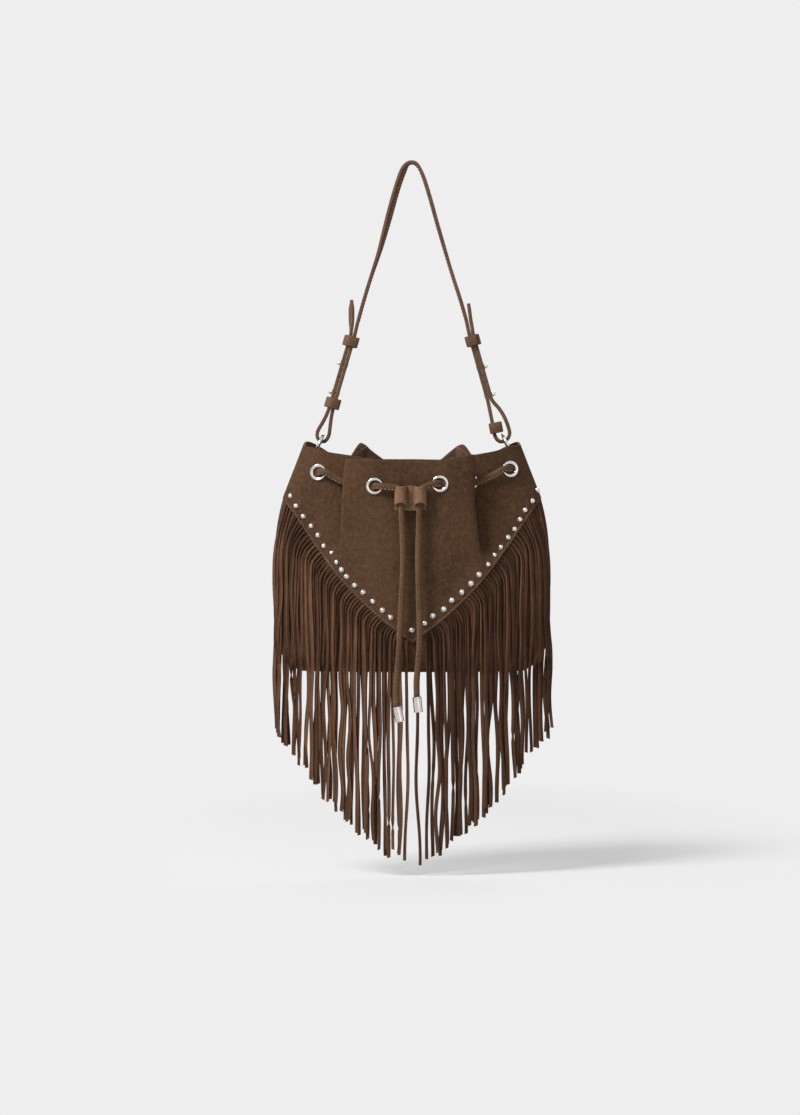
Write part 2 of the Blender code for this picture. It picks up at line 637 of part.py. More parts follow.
def make_strap(parts, cutters):
    """The band, with a hole through both layers at each ball stud."""
    route = spaced(strap_route(), STRAP_STEP)
    band = strip("strap", route, STRAP_WIDE, STRAP_THICK, (SUEDE_LIGHT, 0.95, 0.0), parts)
    face = STRAP_THICK + GAP / 2
    profile = (
        (0.0, face + STUD_REACH), (STUD_BALL * 0.75, face + STUD_REACH - 0.5 * MM),
        (STUD_BALL, face + STUD_REACH - STUD_BALL), (STUD_NECK, face + STUD_REACH - 1.8 * STUD_BALL + 0.6 * MM),
        (STUD_NECK, face + GAP + 0.6 * MM), (STUD_FOOT, face + GAP + 0.5 * MM), (STUD_FOOT, face + GAP),
        (STUD_NECK, face + GAP), (STUD_NECK, -face - GAP), (STUD_BACK, -face - GAP),
        (STUD_BACK, -face - GAP - 0.6 * MM), (0.0, -face - GAP - 0.8 * MM),
    )
    for label, outward, pair in (("left", -1, LEFT_PAIR), ("right", 1, RIGHT_PAIR)):
        start, way, out = pair_line(pair, outward)
        for place, far in [(which, far) for hand, which, far in STUD_PLACES if hand == label]:
            stud = turned(f"strap_stud_{label}_{place}", profile, 12, (SILVER, 0.25, 1.0), parts)
            stand(stud, start + way * far, out, STUD_TURN)
            cut = cutter(
                f"stud_hole_{label}_{place}", {"radius": STUD_NECK + GAP, "deep": 6 * STRAP_THICK, "segments": 12}, cutters
            )
            stand(cut, start + way * far, out)
            boolean(band, cut)


def keeper(name, middle, way, turn, parts, cutters):
    """A square loop of suede round the strap."""
    wide = 2 * STRAP_THICK + GAP + 2 * KEEPER_SLACK
    deep = STRAP_WIDE + 2 * KEEPER_SLACK
    mesh = bpy.data.meshes.new(name)
    kit = bmesh.new()
    size = (wide + 2 * KEEPER_WALL, deep + 2 * KEEPER_WALL, KEEPER_TALL)
    bmesh.ops.create_cube(kit, size=1.0, matrix=Matrix.Diagonal((*size, 1.0)))
    kit.to_mesh(mesh)
    kit.free()
    made = add(name, mesh, (SUEDE_LIGHT, 0.95, 0.0), parts)
    cut = cutter(f"{name}_hole", {"size": (wide, deep, 2 * KEEPER_TALL)}, cutters)
    cut.parent = made
    boolean(made, cut)
    rounded = made.modifiers.new("edges", "BEVEL")
    rounded.width = 0.5 * MM
    rounded.segments = 1
    rounded.limit_method = "ANGLE"
    axis = -Vector(way).normalized()
    across = Vector((axis.z, 0.0, -axis.x))
    basis = Matrix((across, Vector((0.0, 1.0, 0.0)), axis)).transposed()
    made.rotation_mode = "QUATERNION"
    made.rotation_quaternion = (basis @ Matrix.Rotation(turn, 3, "Z")).to_quaternion()
    made.location = middle
    return made


def make_keepers(parts, cutters):
    for label, turn, pair in (("left", KEEPER_TURN, LEFT_PAIR), ("right", -KEEPER_TURN, RIGHT_PAIR)):
        start, way, _ = pair_line(pair, 1)
        keeper(f"keeper_{label}_upper", start, way, turn, parts, cutters)
        if label == "left":
            keeper("keeper_left_lower", start + way * LEFT_LOWER_ALONG, way, turn, parts, cutters)
    way = Vector((RIGHT_LOWER_WAY[0], 0.0, RIGHT_LOWER_WAY[1]))
    keeper("keeper_right_lower", Vector((RIGHT_LOWER_MID[0], 0.0, RIGHT_LOWER_MID[1])), way, 0.0, parts, cutters)


def make_rings(wall, parts):
    """The two wire rings and the tabs that hold them inside the mouth."""
    for label, side, x in RING_PLACES:
        middle = Vector((side * x, 0.0, RING_HEIGHT))
        down = Vector((side * math.sin(RING_TILT), 0.0, -math.cos(RING_TILT)))
        bpy.ops.mesh.primitive_torus_add(
            major_radius=RING_RADIUS, minor_radius=RING_WIRE / 2, major_segments=28, minor_segments=8
        )
        ring = bpy.context.object
        ring.name = f"ring_{label}"
        ring.data.name = ring.name
        for held in list(ring.users_collection):
            held.objects.unlink(ring)
        parts.objects.link(ring)
        ring.data.materials.append(paint(ring.name, SILVER, 0.25, 1.0))
        stand(ring, middle, Vector((math.cos(RING_TILT), 0.0, side * math.sin(RING_TILT))))
        eye = middle + down * RING_RADIUS
        make_tab(label, side, eye, down, wall, parts)


def make_tab(label, side, eye, down, wall, parts):
    """A strip folded over the ring's lower wire, both ends lying on the inside of the wall."""
    round_wire = RING_WIRE / 2 + TAB_EYE_SLACK + TAB_THICK / 2
    apart = TAB_THICK / 2 + 0.2 * MM
    seat = []
    for z in (eye.z - 9 * MM, eye.z - 9 * MM - TAB_LONG):
        edge = wall.point("front", side, 1.0, z)
        seat.append(edge - Vector((side * (WALL * 1.08 + GAP + TAB_THICK + TAB_CORNER), 0.0, 0.0)))
    spine = spaced([eye, eye + down * 4 * MM, seat[0], seat[1]], 2.2 * MM)
    start = next(k for k, p in enumerate(spine) if (p - eye).length > round_wire * 1.25)
    loop = []
    for hand in (1, -1):
        arm = []
        for k in range(start, len(spine)):
            ahead = (spine[min(k + 1, len(spine) - 1)] - spine[k - 1]).normalized()
            arm.append(spine[k] + Vector((-ahead.z, 0.0, ahead.x)) * apart * hand)
        loop.append(arm)
    first = loop[0][0] - eye
    last = loop[1][0] - eye
    arc = []
    turn_from, turn_to = math.atan2(first.z, first.x), math.atan2(last.z, last.x)
    sweep = (turn_to - turn_from) % (2 * math.pi)
    if sweep < math.pi:
        sweep -= 2 * math.pi
    steps = 12
    for k in range(1, steps):
        a = turn_from + sweep * k / steps
        arc.append(eye + Vector((math.cos(a), 0.0, math.sin(a))) * round_wire)
    route = loop[0][::-1] + arc + loop[1]
    strip(f"ring_tab_{label}", route, TAB_WIDE, TAB_THICK, (SUEDE, 0.95, 0.0), parts)


def make_slider(wall, parts, cutters):
    """Two short tunnels on a back sheet, open at the top of their outer sides."""
    name = "slider"
    tall = SLIDER_UP + SLIDER_DOWN
    wide = SLIDER_TUNNELS + SLIDER_TUBE
    mesh = bpy.data.meshes.new(name)
    kit = bmesh.new()
    sheet = (wide, SLIDER_SHEET, SLIDER_UP + SLIDER_FLAP)
    place = Matrix.Translation((0.0, (SLIDER_TUBE - SLIDER_SHEET) / 2, (SLIDER_UP - SLIDER_FLAP) / 2))
    bmesh.ops.create_cube(kit, size=1.0, matrix=place @ Matrix.Diagonal((*sheet, 1.0)))
    kit.to_mesh(mesh)
    kit.free()
    made = add(name, mesh, ((0.205, 0.118, 0.075), 0.95, 0.0), parts)
    web = cutter(f"{name}_web", {"size": (SLIDER_TUNNELS - SLIDER_TUBE + 3 * MM, SLIDER_TUBE * 0.45, tall)}, cutters)
    web.location = (0.0, SLIDER_TUBE * 0.2, (SLIDER_UP - SLIDER_DOWN) / 2)
    steps = [(web, "UNION")]
    for side in (-1, 1):
        x = side * SLIDER_TUNNELS / 2
        outer = cutter(f"{name}_tube_{side}", {"radius": SLIDER_TUBE / 2, "deep": tall, "segments": 20}, cutters)
        outer.location = (x, 0.0, (SLIDER_UP - SLIDER_DOWN) / 2)
        steps.append((outer, "UNION"))
    for side in (-1, 1):
        x = side * SLIDER_TUNNELS / 2
        bore = cutter(f"{name}_bore_{side}", {"radius": SLIDER_BORE / 2, "deep": 3 * tall, "segments": 16}, cutters)
        bore.location = (x, 0.0, 0.0)
        notch_low = SLIDER_UP - SLIDER_NOTCH - CORD_THICK
        notch_high = SLIDER_UP + MM
        notch = cutter(
            f"{name}_notch_{side}", {"size": (SLIDER_TUBE, SLIDER_BORE, notch_high - notch_low)}, cutters
        )
        notch.location = (x + side * SLIDER_TUBE / 2, 0.0, (notch_high + notch_low) / 2)
        steps += [(bore, "DIFFERENCE"), (notch, "DIFFERENCE")]
    for other, operation in steps:
        other.parent = made
        boolean(made, other, operation)
    middle, way = hang_line(wall)
    stand(made, middle, -way)


def hang_line(wall):
    """The slider's middle, and the way down that the free ends take in front of the fringe."""
    middle = Vector((SLIDER_X, wall.point("front", 1, 0.0, SLIDER_HEIGHT).y - SLIDER_OFF, SLIDER_HEIGHT))
    low = -476.0
    front = smooth(DEPTH_PROFILE, -350.0) * MM + FRINGE_OFF + FRINGE_THICK + HANG_CLEAR + CORD_THICK / 2
    return middle, Vector((0.0, -front - middle.y, low * MM - middle.z)).normalized()


def cord_half(wall, side, rows):
    """The middle of the held cord on one side."""
    holes = {name: (quarter, share, height) for name, quarter, _, share, height in GROMMETS}
    points = []
    for row in rows:
        if row[0] in holes:
            quarter, share, height = holes[row[0]]
            share += row[1]
        else:
            quarter, share, height = row[:3]
        place, out = wall.frame(quarter, side, share, height * MM)
        points.append(place + out * row[-1] * MM)
    return points


def make_cords(wall, parts):
    """The held part, the two free ends, and the metal tips on them."""
    finish = ((0.120, 0.062, 0.040), 0.95, 0.0)
    middle, way = hang_line(wall)
    ends = {
        label: [Vector((x * MM, middle.y, middle.z)) + way * down * MM for x, down in points]
        for label, points in (("left", TAIL_LEFT), ("right", TAIL_RIGHT))
    }
    route = [ends["left"][0] - way * MM, *cord_half(wall, -1, CORD_LEFT)]
    route += [*reversed(cord_half(wall, 1, CORD_RIGHT)), ends["right"][0] - way * MM]
    tube("drawcord", thinned(curve_through(route), CORD_WITHIN), CORD_THICK, finish, parts, 1)
    for label, points in ends.items():
        line = spaced(points, 3 * CORD_THICK)
        tube(f"drawcord_tail_{label}", line, CORD_THICK, finish, parts)
        down = (line[-1] - line[-2]).normalized()
        inner, outer = CORD_THICK / 2 + GAP, FERRULE_WIDE / 2
        deep = FERRULE_LONG - FERRULE_FLOOR
        profile = (
            (inner, deep), (outer - 0.4 * MM, deep), (outer, deep - 0.5 * MM), (outer, 0.4 * MM - FERRULE_FLOOR),
            (outer - 0.4 * MM, -FERRULE_FLOOR), (0.0, -FERRULE_FLOOR),
        )
        bottom = (0.0, 0.0)
        tip = turned(f"ferrule_{label}", (bottom, (inner, 0.0), *profile), 16, (SILVER, 0.25, 1.0), parts)
        stand(tip, line[-1] + down * GAP, -down)


def main():
    clear_scene()
    parts = make_collection("fringed_bag")
    cutters = make_collection("cutters")
    cutters.hide_render = True
    wall = Wall()
    yoke, rear = make_body(wall, parts)
    make_grommets(wall, yoke, rear, parts, cutters)
    make_fringe(wall, parts)
    make_strap(parts, cutters)
    make_keepers(parts, cutters)
    make_rings(wall, parts)
    make_cords(wall, parts)
    make_slider(wall, parts, cutters)


main()
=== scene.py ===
"""Looks of a fringed suede bag that hangs by its strap, in metres, in the frame of its CAD model."""

import logging
import math
import random
from bisect import bisect_right
from dataclasses import dataclass, field
from enum import Enum
from typing import Callable, Sequence

import bmesh
import bpy
from mathutils import Matrix, Vector, noise


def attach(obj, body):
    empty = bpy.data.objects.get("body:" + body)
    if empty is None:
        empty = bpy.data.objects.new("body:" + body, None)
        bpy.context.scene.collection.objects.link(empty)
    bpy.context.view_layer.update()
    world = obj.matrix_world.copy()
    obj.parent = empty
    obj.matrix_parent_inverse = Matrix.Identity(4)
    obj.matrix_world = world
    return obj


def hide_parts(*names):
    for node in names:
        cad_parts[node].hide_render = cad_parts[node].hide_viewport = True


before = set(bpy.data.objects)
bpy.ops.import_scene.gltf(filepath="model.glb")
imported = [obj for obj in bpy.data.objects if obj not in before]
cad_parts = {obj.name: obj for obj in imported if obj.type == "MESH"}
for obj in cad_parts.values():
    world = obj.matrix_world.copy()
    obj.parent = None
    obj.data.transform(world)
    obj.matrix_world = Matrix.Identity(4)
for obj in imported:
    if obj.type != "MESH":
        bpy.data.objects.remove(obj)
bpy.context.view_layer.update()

log = logging.getLogger("fringed_bag")
MM = 0.001
Table = tuple[tuple[float, ...], ...]
Colour = tuple[float, float, float]


class Half(Enum):
    """The two halves of the bag as seen from the front."""

    LEFT = -1
    RIGHT = 1


class Quarter(Enum):
    """The two faces that meet at each side seam."""

    FRONT = "front"
    BACK = "back"


# ---------------------------------------------------------------- curves


def through(points: Sequence[Vector], per: int = 12) -> list[Vector]:
    """A smooth curve through points.

    Args:
        points: the points that it passes.
        per: how many steps there are between two of them.

    Returns:
        A dense list of points.
    """
    ends = [points[0] * 2 - points[1], *points, points[-1] * 2 - points[-2]]
    dense: list[Vector] = []
    for a, b, c, d in zip(ends, ends[1:], ends[2:], ends[3:]):
        for k in range(per):
            t = k / per
            bend = (2 * a - 5 * b + 4 * c - d) * t * t + (3 * b - a - 3 * c + d) * t**3
            dense.append(0.5 * (2 * b + (c - a) * t + bend))
    return dense + [points[-1].copy()]


class Track:
    """A dense curve that is read by the distance along it."""

    def __init__(self, dense: Sequence[Vector]) -> None:
        """Keeps the points and measures them.

        Args:
            dense: the curve's points.
        """
        self.dense = list(dense)
        self.far = [0.0]
        for a, b in zip(self.dense, self.dense[1:]):
            self.far.append(self.far[-1] + (b - a).length)

    @property
    def length(self) -> float:
        """The whole length."""
        return self.far[-1]

    def at(self, far: float) -> Vector:
        """The point at a distance along the curve.

        Args:
            far: the distance from the start.

        Returns:
            The point.
        """
        k = min(max(bisect_right(self.far, far) - 1, 0), len(self.far) - 2)
        span = self.far[k + 1] - self.far[k]
        return self.dense[k].lerp(self.dense[k + 1], min(max((far - self.far[k]) / span, 0.0), 1.0) if span else 0.0)

    def spaced(self, step: float) -> list[Vector]:
        """Points about one step apart from end to end."""
        count = max(2, round(self.length / step))
        return [self.at(self.length * k / count) for k in range(count + 1)]


def read_smooth(rows: Table, x: float, column: int = 1) -> float:
    """A smooth reading of a table.

    Args:
        rows: rows whose first value is x.
        x: where to read.
        column: which value to read.

    Returns:
        The value, held at the table's ends.
    """
    rows = tuple(sorted(rows))
    if x <= rows[0][0]:
        return rows[0][column]
    if x >= rows[-1][0]:
        return rows[-1][column]
    i = max(k for k in range(len(rows) - 1) if rows[k][0] <= x)
    slope = []
    for k in (i, i + 1):
        low, high = rows[max(k - 1, 0)], rows[min(k + 1, len(rows) - 1)]
        slope.append((high[column] - low[column]) / (high[0] - low[0]))
    wide = rows[i + 1][0] - rows[i][0]
    t = (x - rows[i][0]) / wide
    a, b = rows[i][column], rows[i + 1][column]
    return (
        a * (1 + 2 * t) * (1 - t) ** 2 + slope[0] * wide * t * (1 - t) ** 2
        + b * t * t * (3 - 2 * t) - slope[1] * wide * t * t * (1 - t)
    )


def ease(t: float) -> float:
    """A soft step from 0 to 1."""
    t = max(0.0, min(1.0, t))
    return t * t * (3 - 2 * t)


def waver(x: float, y: float = 0.0, z: float = 0.0) -> float:
    """Smooth noise, about -1 to 1, the same on each run."""
    return noise.noise(Vector((x, y, z)))


# ---------------------------------------------------------------- meshes


def takes_place(piece: bpy.types.Object, node: str, body: str = "bag") -> None:
    """Puts a piece on its body, in place of the CAD node that it shows.

    Args:
        piece: the piece.
        node: the CAD node.
        body: the CAD body that carries it.
    """
    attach(piece, body)
    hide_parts(node)


def mesh_piece(
    name: str, verts: Sequence[Vector], faces: Sequence[Sequence[int]], angle: float = 180.0
) -> bpy.types.Object:
    """An object from points and faces, with its normals outwards.

    Args:
        name: the piece's name.
        verts: its points.
        faces: its faces.
        angle: edges sharper than this many degrees stay sharp.

    Returns:
        The new object.
    """
    mesh = bpy.data.meshes.new(name)
    mesh.from_pydata([tuple(v) for v in verts], [], [tuple(f) for f in faces])
    kit = bmesh.new()
    kit.from_mesh(mesh)
    bmesh.ops.remove_doubles(kit, verts=kit.verts, dist=1e-6)
    bmesh.ops.recalc_face_normals(kit, faces=kit.faces)
    kit.to_mesh(mesh)
    kit.free()
    made = bpy.data.objects.new(name, mesh)
    bpy.context.scene.collection.objects.link(made)
    soften(made, angle)
    return made


def only(obj: bpy.types.Object) -> None:
    """Selects one object and nothing else.

    Args:
        obj: the object.
    """
    for other in bpy.context.selected_objects:
        other.select_set(False)
    obj.select_set(True)
    bpy.context.view_layer.objects.active = obj


def soften(obj: bpy.types.Object, angle: float) -> None:
    """Shades an object smooth, but for its sharp edges.

    Args:
        obj: the object.
        angle: edges sharper than this many degrees stay sharp.
    """
    only(obj)
    if angle >= 180:
        bpy.ops.object.shade_smooth()
    else:
        bpy.ops.object.shade_smooth_by_angle(angle=math.radians(angle))


def settle(obj: bpy.types.Object) -> bpy.types.Object:
    """Applies an object's modifiers, so that its shape is all in its mesh.

    Args:
        obj: the object.

    Returns:
        The same object.
    """
    only(obj)
    for step in list(obj.modifiers):
        bpy.ops.object.modifier_apply(modifier=step.name)
    return obj


def move_mesh(obj: bpy.types.Object, matrix: Matrix) -> None:
    """Puts a matrix into an object's mesh."""
    obj.data.transform(matrix)
    obj.data.update()


def copied(obj: bpy.types.Object, name: str) -> bpy.types.Object:
    """A copy of an object with its own mesh.

    Args:
        obj: what is copied.
        name: the copy's name.

    Returns:
        The copy.
    """
    made = bpy.data.objects.new(name, obj.data.copy())
    made.data.name = name
    bpy.context.scene.collection.objects.link(made)
    return made


def joined(name: str, pieces: Sequence[bpy.types.Object]) -> bpy.types.Object:
    """Several objects made one.

    Args:
        name: the new object's name.
        pieces: the objects.

    Returns:
        The one object.
    """
    only(pieces[0])
    for piece in pieces:
        piece.select_set(True)
    bpy.ops.object.join()
    made = bpy.context.object
    made.name = name
    made.data.name = name
    return made


def stand(place: Vector, way: Vector, twist: float = 0.0) -> Matrix:
    """The matrix that puts Z along a direction at a place.

    Args:
        place: where the origin goes.
        way: where Z points.
        twist: a turn about Z first, in radians.

    Returns:
        The matrix.
    """
    turn = way.to_track_quat("Z", "Y").to_matrix().to_4x4()
    return Matrix.Translation(place) @ turn @ Matrix.Rotation(twist, 4, "Z")


def frames(points: Sequence[Vector], rise: Vector, start: int = 0) -> list[tuple[Vector, Vector, Vector]]:
    """Frames that don't twist along a line.

    Args:
        points: the line.
        rise: the direction that is up at the start.
        start: the point where that holds.

    Returns:
        For each point: the way on, the way up and the way across.
    """
    ways = []
    for k in range(len(points)):
        ways.append((points[min(k + 1, len(points) - 1)] - points[max(k - 1, 0)]).normalized())
    ups: list[Vector] = [Vector()] * len(points)
    up = (rise - ways[start] * rise.dot(ways[start])).normalized()
    ups[start] = up
    for order in (range(start + 1, len(points)), range(start - 1, -1, -1)):
        last = ups[start]
        for k in order:
            last = (last - ways[k] * last.dot(ways[k])).normalized()
            ups[k] = last
    return [(w, u, w.cross(u)) for w, u in zip(ways, ups)]


Section = Callable[[int, float], list[tuple[float, float]]]


def sweep(
    name: str, points: Sequence[Vector], rise: Vector, section: Section, angle: float = 180.0, start: int = 0,
    closed: bool = False,
) -> bpy.types.Object:
    """A solid swept along a line.

    Args:
        name: the piece's name.
        points: the line.
        rise: the direction that is up at the start.
        section: gives the outline (across, up) in metres for a point's number and share of the way.
        angle: edges sharper than this many degrees stay sharp.
        start: the point where the rise holds.
        closed: whether the line's end meets its start.

    Returns:
        The new object.
    """
    verts: list[Vector] = []
    faces: list[tuple[int, ...]] = []
    line = frames(points, rise, start)
    sides = 0
    for k, (point, (_, up, across)) in enumerate(zip(points, line)):
        outline = section(k, k / (len(points) - 1))
        sides = len(outline)
        verts += [point + across * a + up * b for a, b in outline]
    rings = len(points)
    for k in range(rings if closed else rings - 1):
        for j in range(sides):
            a, b = k * sides + j, k * sides + (j + 1) % sides
            n = ((k + 1) % rings) * sides
            faces.append((a, b, n + (j + 1) % sides, n + j))
    if not closed:
        faces += [tuple(range(sides)), tuple(range((rings - 1) * sides, rings * sides))]
    return mesh_piece(name, verts, faces, angle)


def oval(wide: float, tall: float, count: int = 14, power: float = 2.4) -> list[tuple[float, float]]:
    """A rounded outline.

    Args:
        wide: its width in metres.
        tall: its height in metres.
        count: its number of points.
        power: 2 is an ellipse, and more is squarer.

    Returns:
        Points (across, up).
    """
    out = []
    for k in range(count):
        a = 2 * math.pi * (k + 0.5) / count
        c, s = math.cos(a), math.sin(a)
        out.append(
            (math.copysign(abs(c) ** (2 / power), c) * wide / 2, math.copysign(abs(s) ** (2 / power), s) * tall / 2)
        )
    return out


def spun(name: str, profile: Sequence[tuple[float, float]], steps: int, angle: float = 40.0) -> bpy.types.Object:
    """A turned piece about Z, from a profile that is closed where both its ends stand off the axis.

    Args:
        name: the piece's name.
        profile: points (radius, height) in metres.
        steps: how many steps there are round it.
        angle: edges sharper than this many degrees stay sharp.

    Returns:
        The new object.
    """
    mesh = bpy.data.meshes.new(name)
    edges = [(k, k + 1) for k in range(len(profile) - 1)]
    if profile[0][0] > 1e-7 and profile[-1][0] > 1e-7:
        edges.append((len(profile) - 1, 0))
    mesh.from_pydata([(r, 0.0, z) for r, z in profile], edges, [])
    made = bpy.data.objects.new(name, mesh)
    bpy.context.scene.collection.objects.link(made)
    only(made)
    bpy.ops.object.mode_set(mode="EDIT")
    bpy.ops.mesh.select_all(action="SELECT")
    bpy.ops.mesh.spin(steps=steps, angle=2 * math.pi, center=(0, 0, 0), axis=(0, 0, 1), use_auto_merge=True)
    bpy.ops.mesh.select_all(action="SELECT")
    bpy.ops.mesh.remove_doubles(threshold=1e-6)
    bpy.ops.mesh.normals_make_consistent(inside=False)
    bpy.ops.object.mode_set(mode="OBJECT")
    soften(made, angle)
    return made


# ---------------------------------------------------------------- finishes


class Shade:
    """A material's node tree, with short ways to add to it."""

    def __init__(self, tree: bpy.types.NodeTree) -> None:
        """Keeps the tree.

        Args:
            tree: where the nodes go.
        """
        self.tree = tree

    def node(self, kind: str, **values: object) -> bpy.types.Node:
        """A node with some of its settings.

        Args:
            kind: the node's type.
            values: its settings.

        Returns:
            The new node.
        """
        made = self.tree.nodes.new(kind)
        for key, value in values.items():
            setattr(made, key, value)
        return made

    def put(self, socket: bpy.types.NodeSocket, value: object) -> None:
        """Links a socket, or sets its value.

        Args:
            socket: an input.
            value: an output to link, or a value.
        """
        if isinstance(value, bpy.types.NodeSocket):
            self.tree.links.new(value, socket)
        else:
            socket.default_value = value

    def noise(self, where: object, scale: object, detail: float = 4.0, rough: float = 0.55) -> bpy.types.NodeSocket:
        """Cloudy noise.

        Args:
            where: the coordinates.
            scale: how fine it is, per metre.
            detail: its octaves.
            rough: how strong the finer ones are.

        Returns:
            Its value.
        """
        made = self.node("ShaderNodeTexNoise")
        self.put(made.inputs["Vector"], where)
        self.put(made.inputs["Scale"], scale)
        made.inputs["Detail"].default_value = detail
        made.inputs["Roughness"].default_value = rough
        return made.outputs["Fac"]

    def span(
        self, value: object, low: float, high: float, to_low: object = 0.0, to_high: object = 1.0
    ) -> bpy.types.NodeSocket:
        """A value moved from one range to another, and held in it.

        Args:
            value: what is moved.
            low: where the old range starts.
            high: where it ends.
            to_low: where the new range starts.
            to_high: where it ends.

        Returns:
            The new value.
        """
        made = self.node("ShaderNodeMapRange")
        ends = {"From Min": low, "From Max": high, "To Min": to_low, "To Max": to_high}
        for key, item in {"Value": value, **ends}.items():
            self.put(made.inputs[key], item)
        return made.outputs["Result"]

    def math(self, operation: str, a: object, b: object = 0.0) -> bpy.types.NodeSocket:
        """A sum of two values.

        Args:
            operation: the node's operation.
            a: the first value.
            b: the second value.

        Returns:
            The result.
        """
        made = self.node("ShaderNodeMath", operation=operation)
        self.put(made.inputs[0], a)
        self.put(made.inputs[1], b)
        return made.outputs[0]

    def mix(self, share: object, a: object, b: object, blend: str = "MIX") -> bpy.types.NodeSocket:
        """Two colours mixed.

        Args:
            share: how much of the second.
            a: the first colour.
            b: the second colour.
            blend: how they mix.

        Returns:
            The colour.
        """
        made = self.node("ShaderNodeMix", data_type="RGBA", blend_type=blend)
        self.put(made.inputs[0], share)
        self.put(made.inputs[6], a)
        self.put(made.inputs[7], b)
        return made.outputs[2]


def new_group(
    name: str, sockets_in: Sequence[tuple[str, str, object]], sockets_out: Sequence[tuple[str, str]]
) -> Shade:
    """A node group with named sockets.

    Args:
        name: the group's name.
        sockets_in: names, types and defaults of its inputs.
        sockets_out: names and types of its outputs.

    Returns:
        Its tree, with the two end nodes as attributes.
    """
    tree = bpy.data.node_groups.new(name, "ShaderNodeTree")
    for label, kind, value in sockets_in:
        tree.interface.new_socket(label, in_out="INPUT", socket_type=kind).default_value = value
    for label, kind in sockets_out:
        tree.interface.new_socket(label, in_out="OUTPUT", socket_type=kind)
    shade = Shade(tree)
    shade.start = shade.node("NodeGroupInput").outputs
    shade.end = shade.node("NodeGroupOutput").inputs
    return shade


def nap_group() -> bpy.types.NodeTree:
    """Brushed suede: clouds where the nap lies another way, and fine short fibres.

    Returns:
        The group.
    """
    s = new_group(
        "suede_nap",
        [
            ("Base", "NodeSocketColor", (0.1, 0.05, 0.03, 1)), ("Dark", "NodeSocketColor", (0.05, 0.03, 0.02, 1)),
            ("Light", "NodeSocketColor", (0.2, 0.1, 0.07, 1)), ("Clouds", "NodeSocketFloat", 26.0),
            ("Fibres", "NodeSocketFloat", 1500.0),
        ],
        [("Color", "NodeSocketColor"), ("Roughness", "NodeSocketFloat"), ("Height", "NodeSocketFloat")],
    )
    where = s.node("ShaderNodeTexCoord").outputs["Object"]
    cloud = s.span(s.noise(where, s.start["Clouds"], 3.0, 0.5), 0.34, 0.60)
    brushed = s.noise(where, s.math("MULTIPLY", s.start["Clouds"], 15.0), 5.0, 0.66)
    fibre = s.noise(where, s.start["Fibres"], 2.0, 0.6)
    colour = s.mix(cloud, s.start["Dark"], s.start["Base"])
    colour = s.mix(s.span(brushed, 0.42, 0.72, 0.0, 0.70), colour, s.start["Light"])
    grain = s.span(fibre, 0.32, 0.68, 0.62, 1.38)
    tint = s.node("ShaderNodeCombineColor")
    for k in range(3):
        s.put(tint.inputs[k], grain)
    colour = s.mix(1.0, colour, tint.outputs[0], "MULTIPLY")
    s.put(s.end["Color"], colour)
    s.put(s.end["Roughness"], s.span(fibre, 0.3, 0.7, 0.86, 0.98))
    s.put(s.end["Height"], s.math("ADD", s.math("MULTIPLY", fibre, 0.9), s.math("MULTIPLY", brushed, 0.7)))
    return s.tree


def wear_and_crease_shade_group() -> bpy.types.NodeTree:
    """Rubbed lighter on ridges and edges as wear, with painted shade darkening the creases.

    Returns:
        The group.
    """
    s = new_group(
        "rubbed_edges_crease_shade",
        [
            ("Color", "NodeSocketColor", (0.1, 0.05, 0.03, 1)), ("Rubbed", "NodeSocketColor", (0.2, 0.1, 0.07, 1)),
            ("Amount", "NodeSocketFloat", 0.6),
        ],
        [("Color", "NodeSocketColor"), ("Mask", "NodeSocketFloat")],
    )
    bump = s.node("ShaderNodeNewGeometry").outputs["Pointiness"]
    where = s.node("ShaderNodeTexCoord").outputs["Object"]
    patchy = s.span(s.noise(where, 240.0, 3.0), 0.3, 0.7, 0.55, 1.0)
    ridge = s.math("MULTIPLY", s.math("MULTIPLY", s.span(bump, 0.515, 0.60), patchy), s.start["Amount"])
    # painted shade: concave creases, found by pointiness, are darkened where shade falls
    crease = s.span(bump, 0.40, 0.485, 0.55, 1.0)
    shadow = s.node("ShaderNodeCombineColor")
    for k in range(3):
        s.put(shadow.inputs[k], crease)
    colour = s.mix(ridge, s.start["Color"], s.start["Rubbed"])
    s.put(s.end["Color"], s.mix(1.0, colour, shadow.outputs[0], "MULTIPLY"))
    s.put(s.end["Mask"], ridge)
    return s.tree


def handling_group() -> bpy.types.NodeTree:
    """Polished metal that has been handled: faint haze, hairlines and dull creases.

    Returns:
        The group.
    """
    s = new_group(
        "handled_metal",
        [("Clean", "NodeSocketColor", (0.8, 0.8, 0.78, 1)), ("Dull", "NodeSocketColor", (0.4, 0.38, 0.34, 1))],
        [("Color", "NodeSocketColor"), ("Roughness", "NodeSocketFloat"), ("Height", "NodeSocketFloat")],
    )
    where = s.node("ShaderNodeTexCoord").outputs["Object"]
    haze = s.noise(where, 260.0, 4.0, 0.6)
    long = s.node("ShaderNodeMapping")
    s.put(long.inputs["Vector"], where)
    long.inputs["Scale"].default_value = (1.0, 1.0, 0.12)
    hairs = s.noise(long.outputs[0], 5200.0, 2.0, 0.7)
    crease = s.span(s.node("ShaderNodeNewGeometry").outputs["Pointiness"], 0.42, 0.49)
    clean = s.mix(s.span(haze, 0.55, 0.85, 0.0, 0.35), s.start["Clean"], s.start["Dull"])
    s.put(s.end["Color"], s.mix(crease, s.start["Dull"], clean))
    s.put(s.end["Roughness"], s.math("ADD", s.span(haze, 0.3, 0.75, 0.08, 0.17), s.span(hairs, 0.5, 0.8, 0.0, 0.05)))
    s.put(s.end["Height"], hairs)
    return s.tree


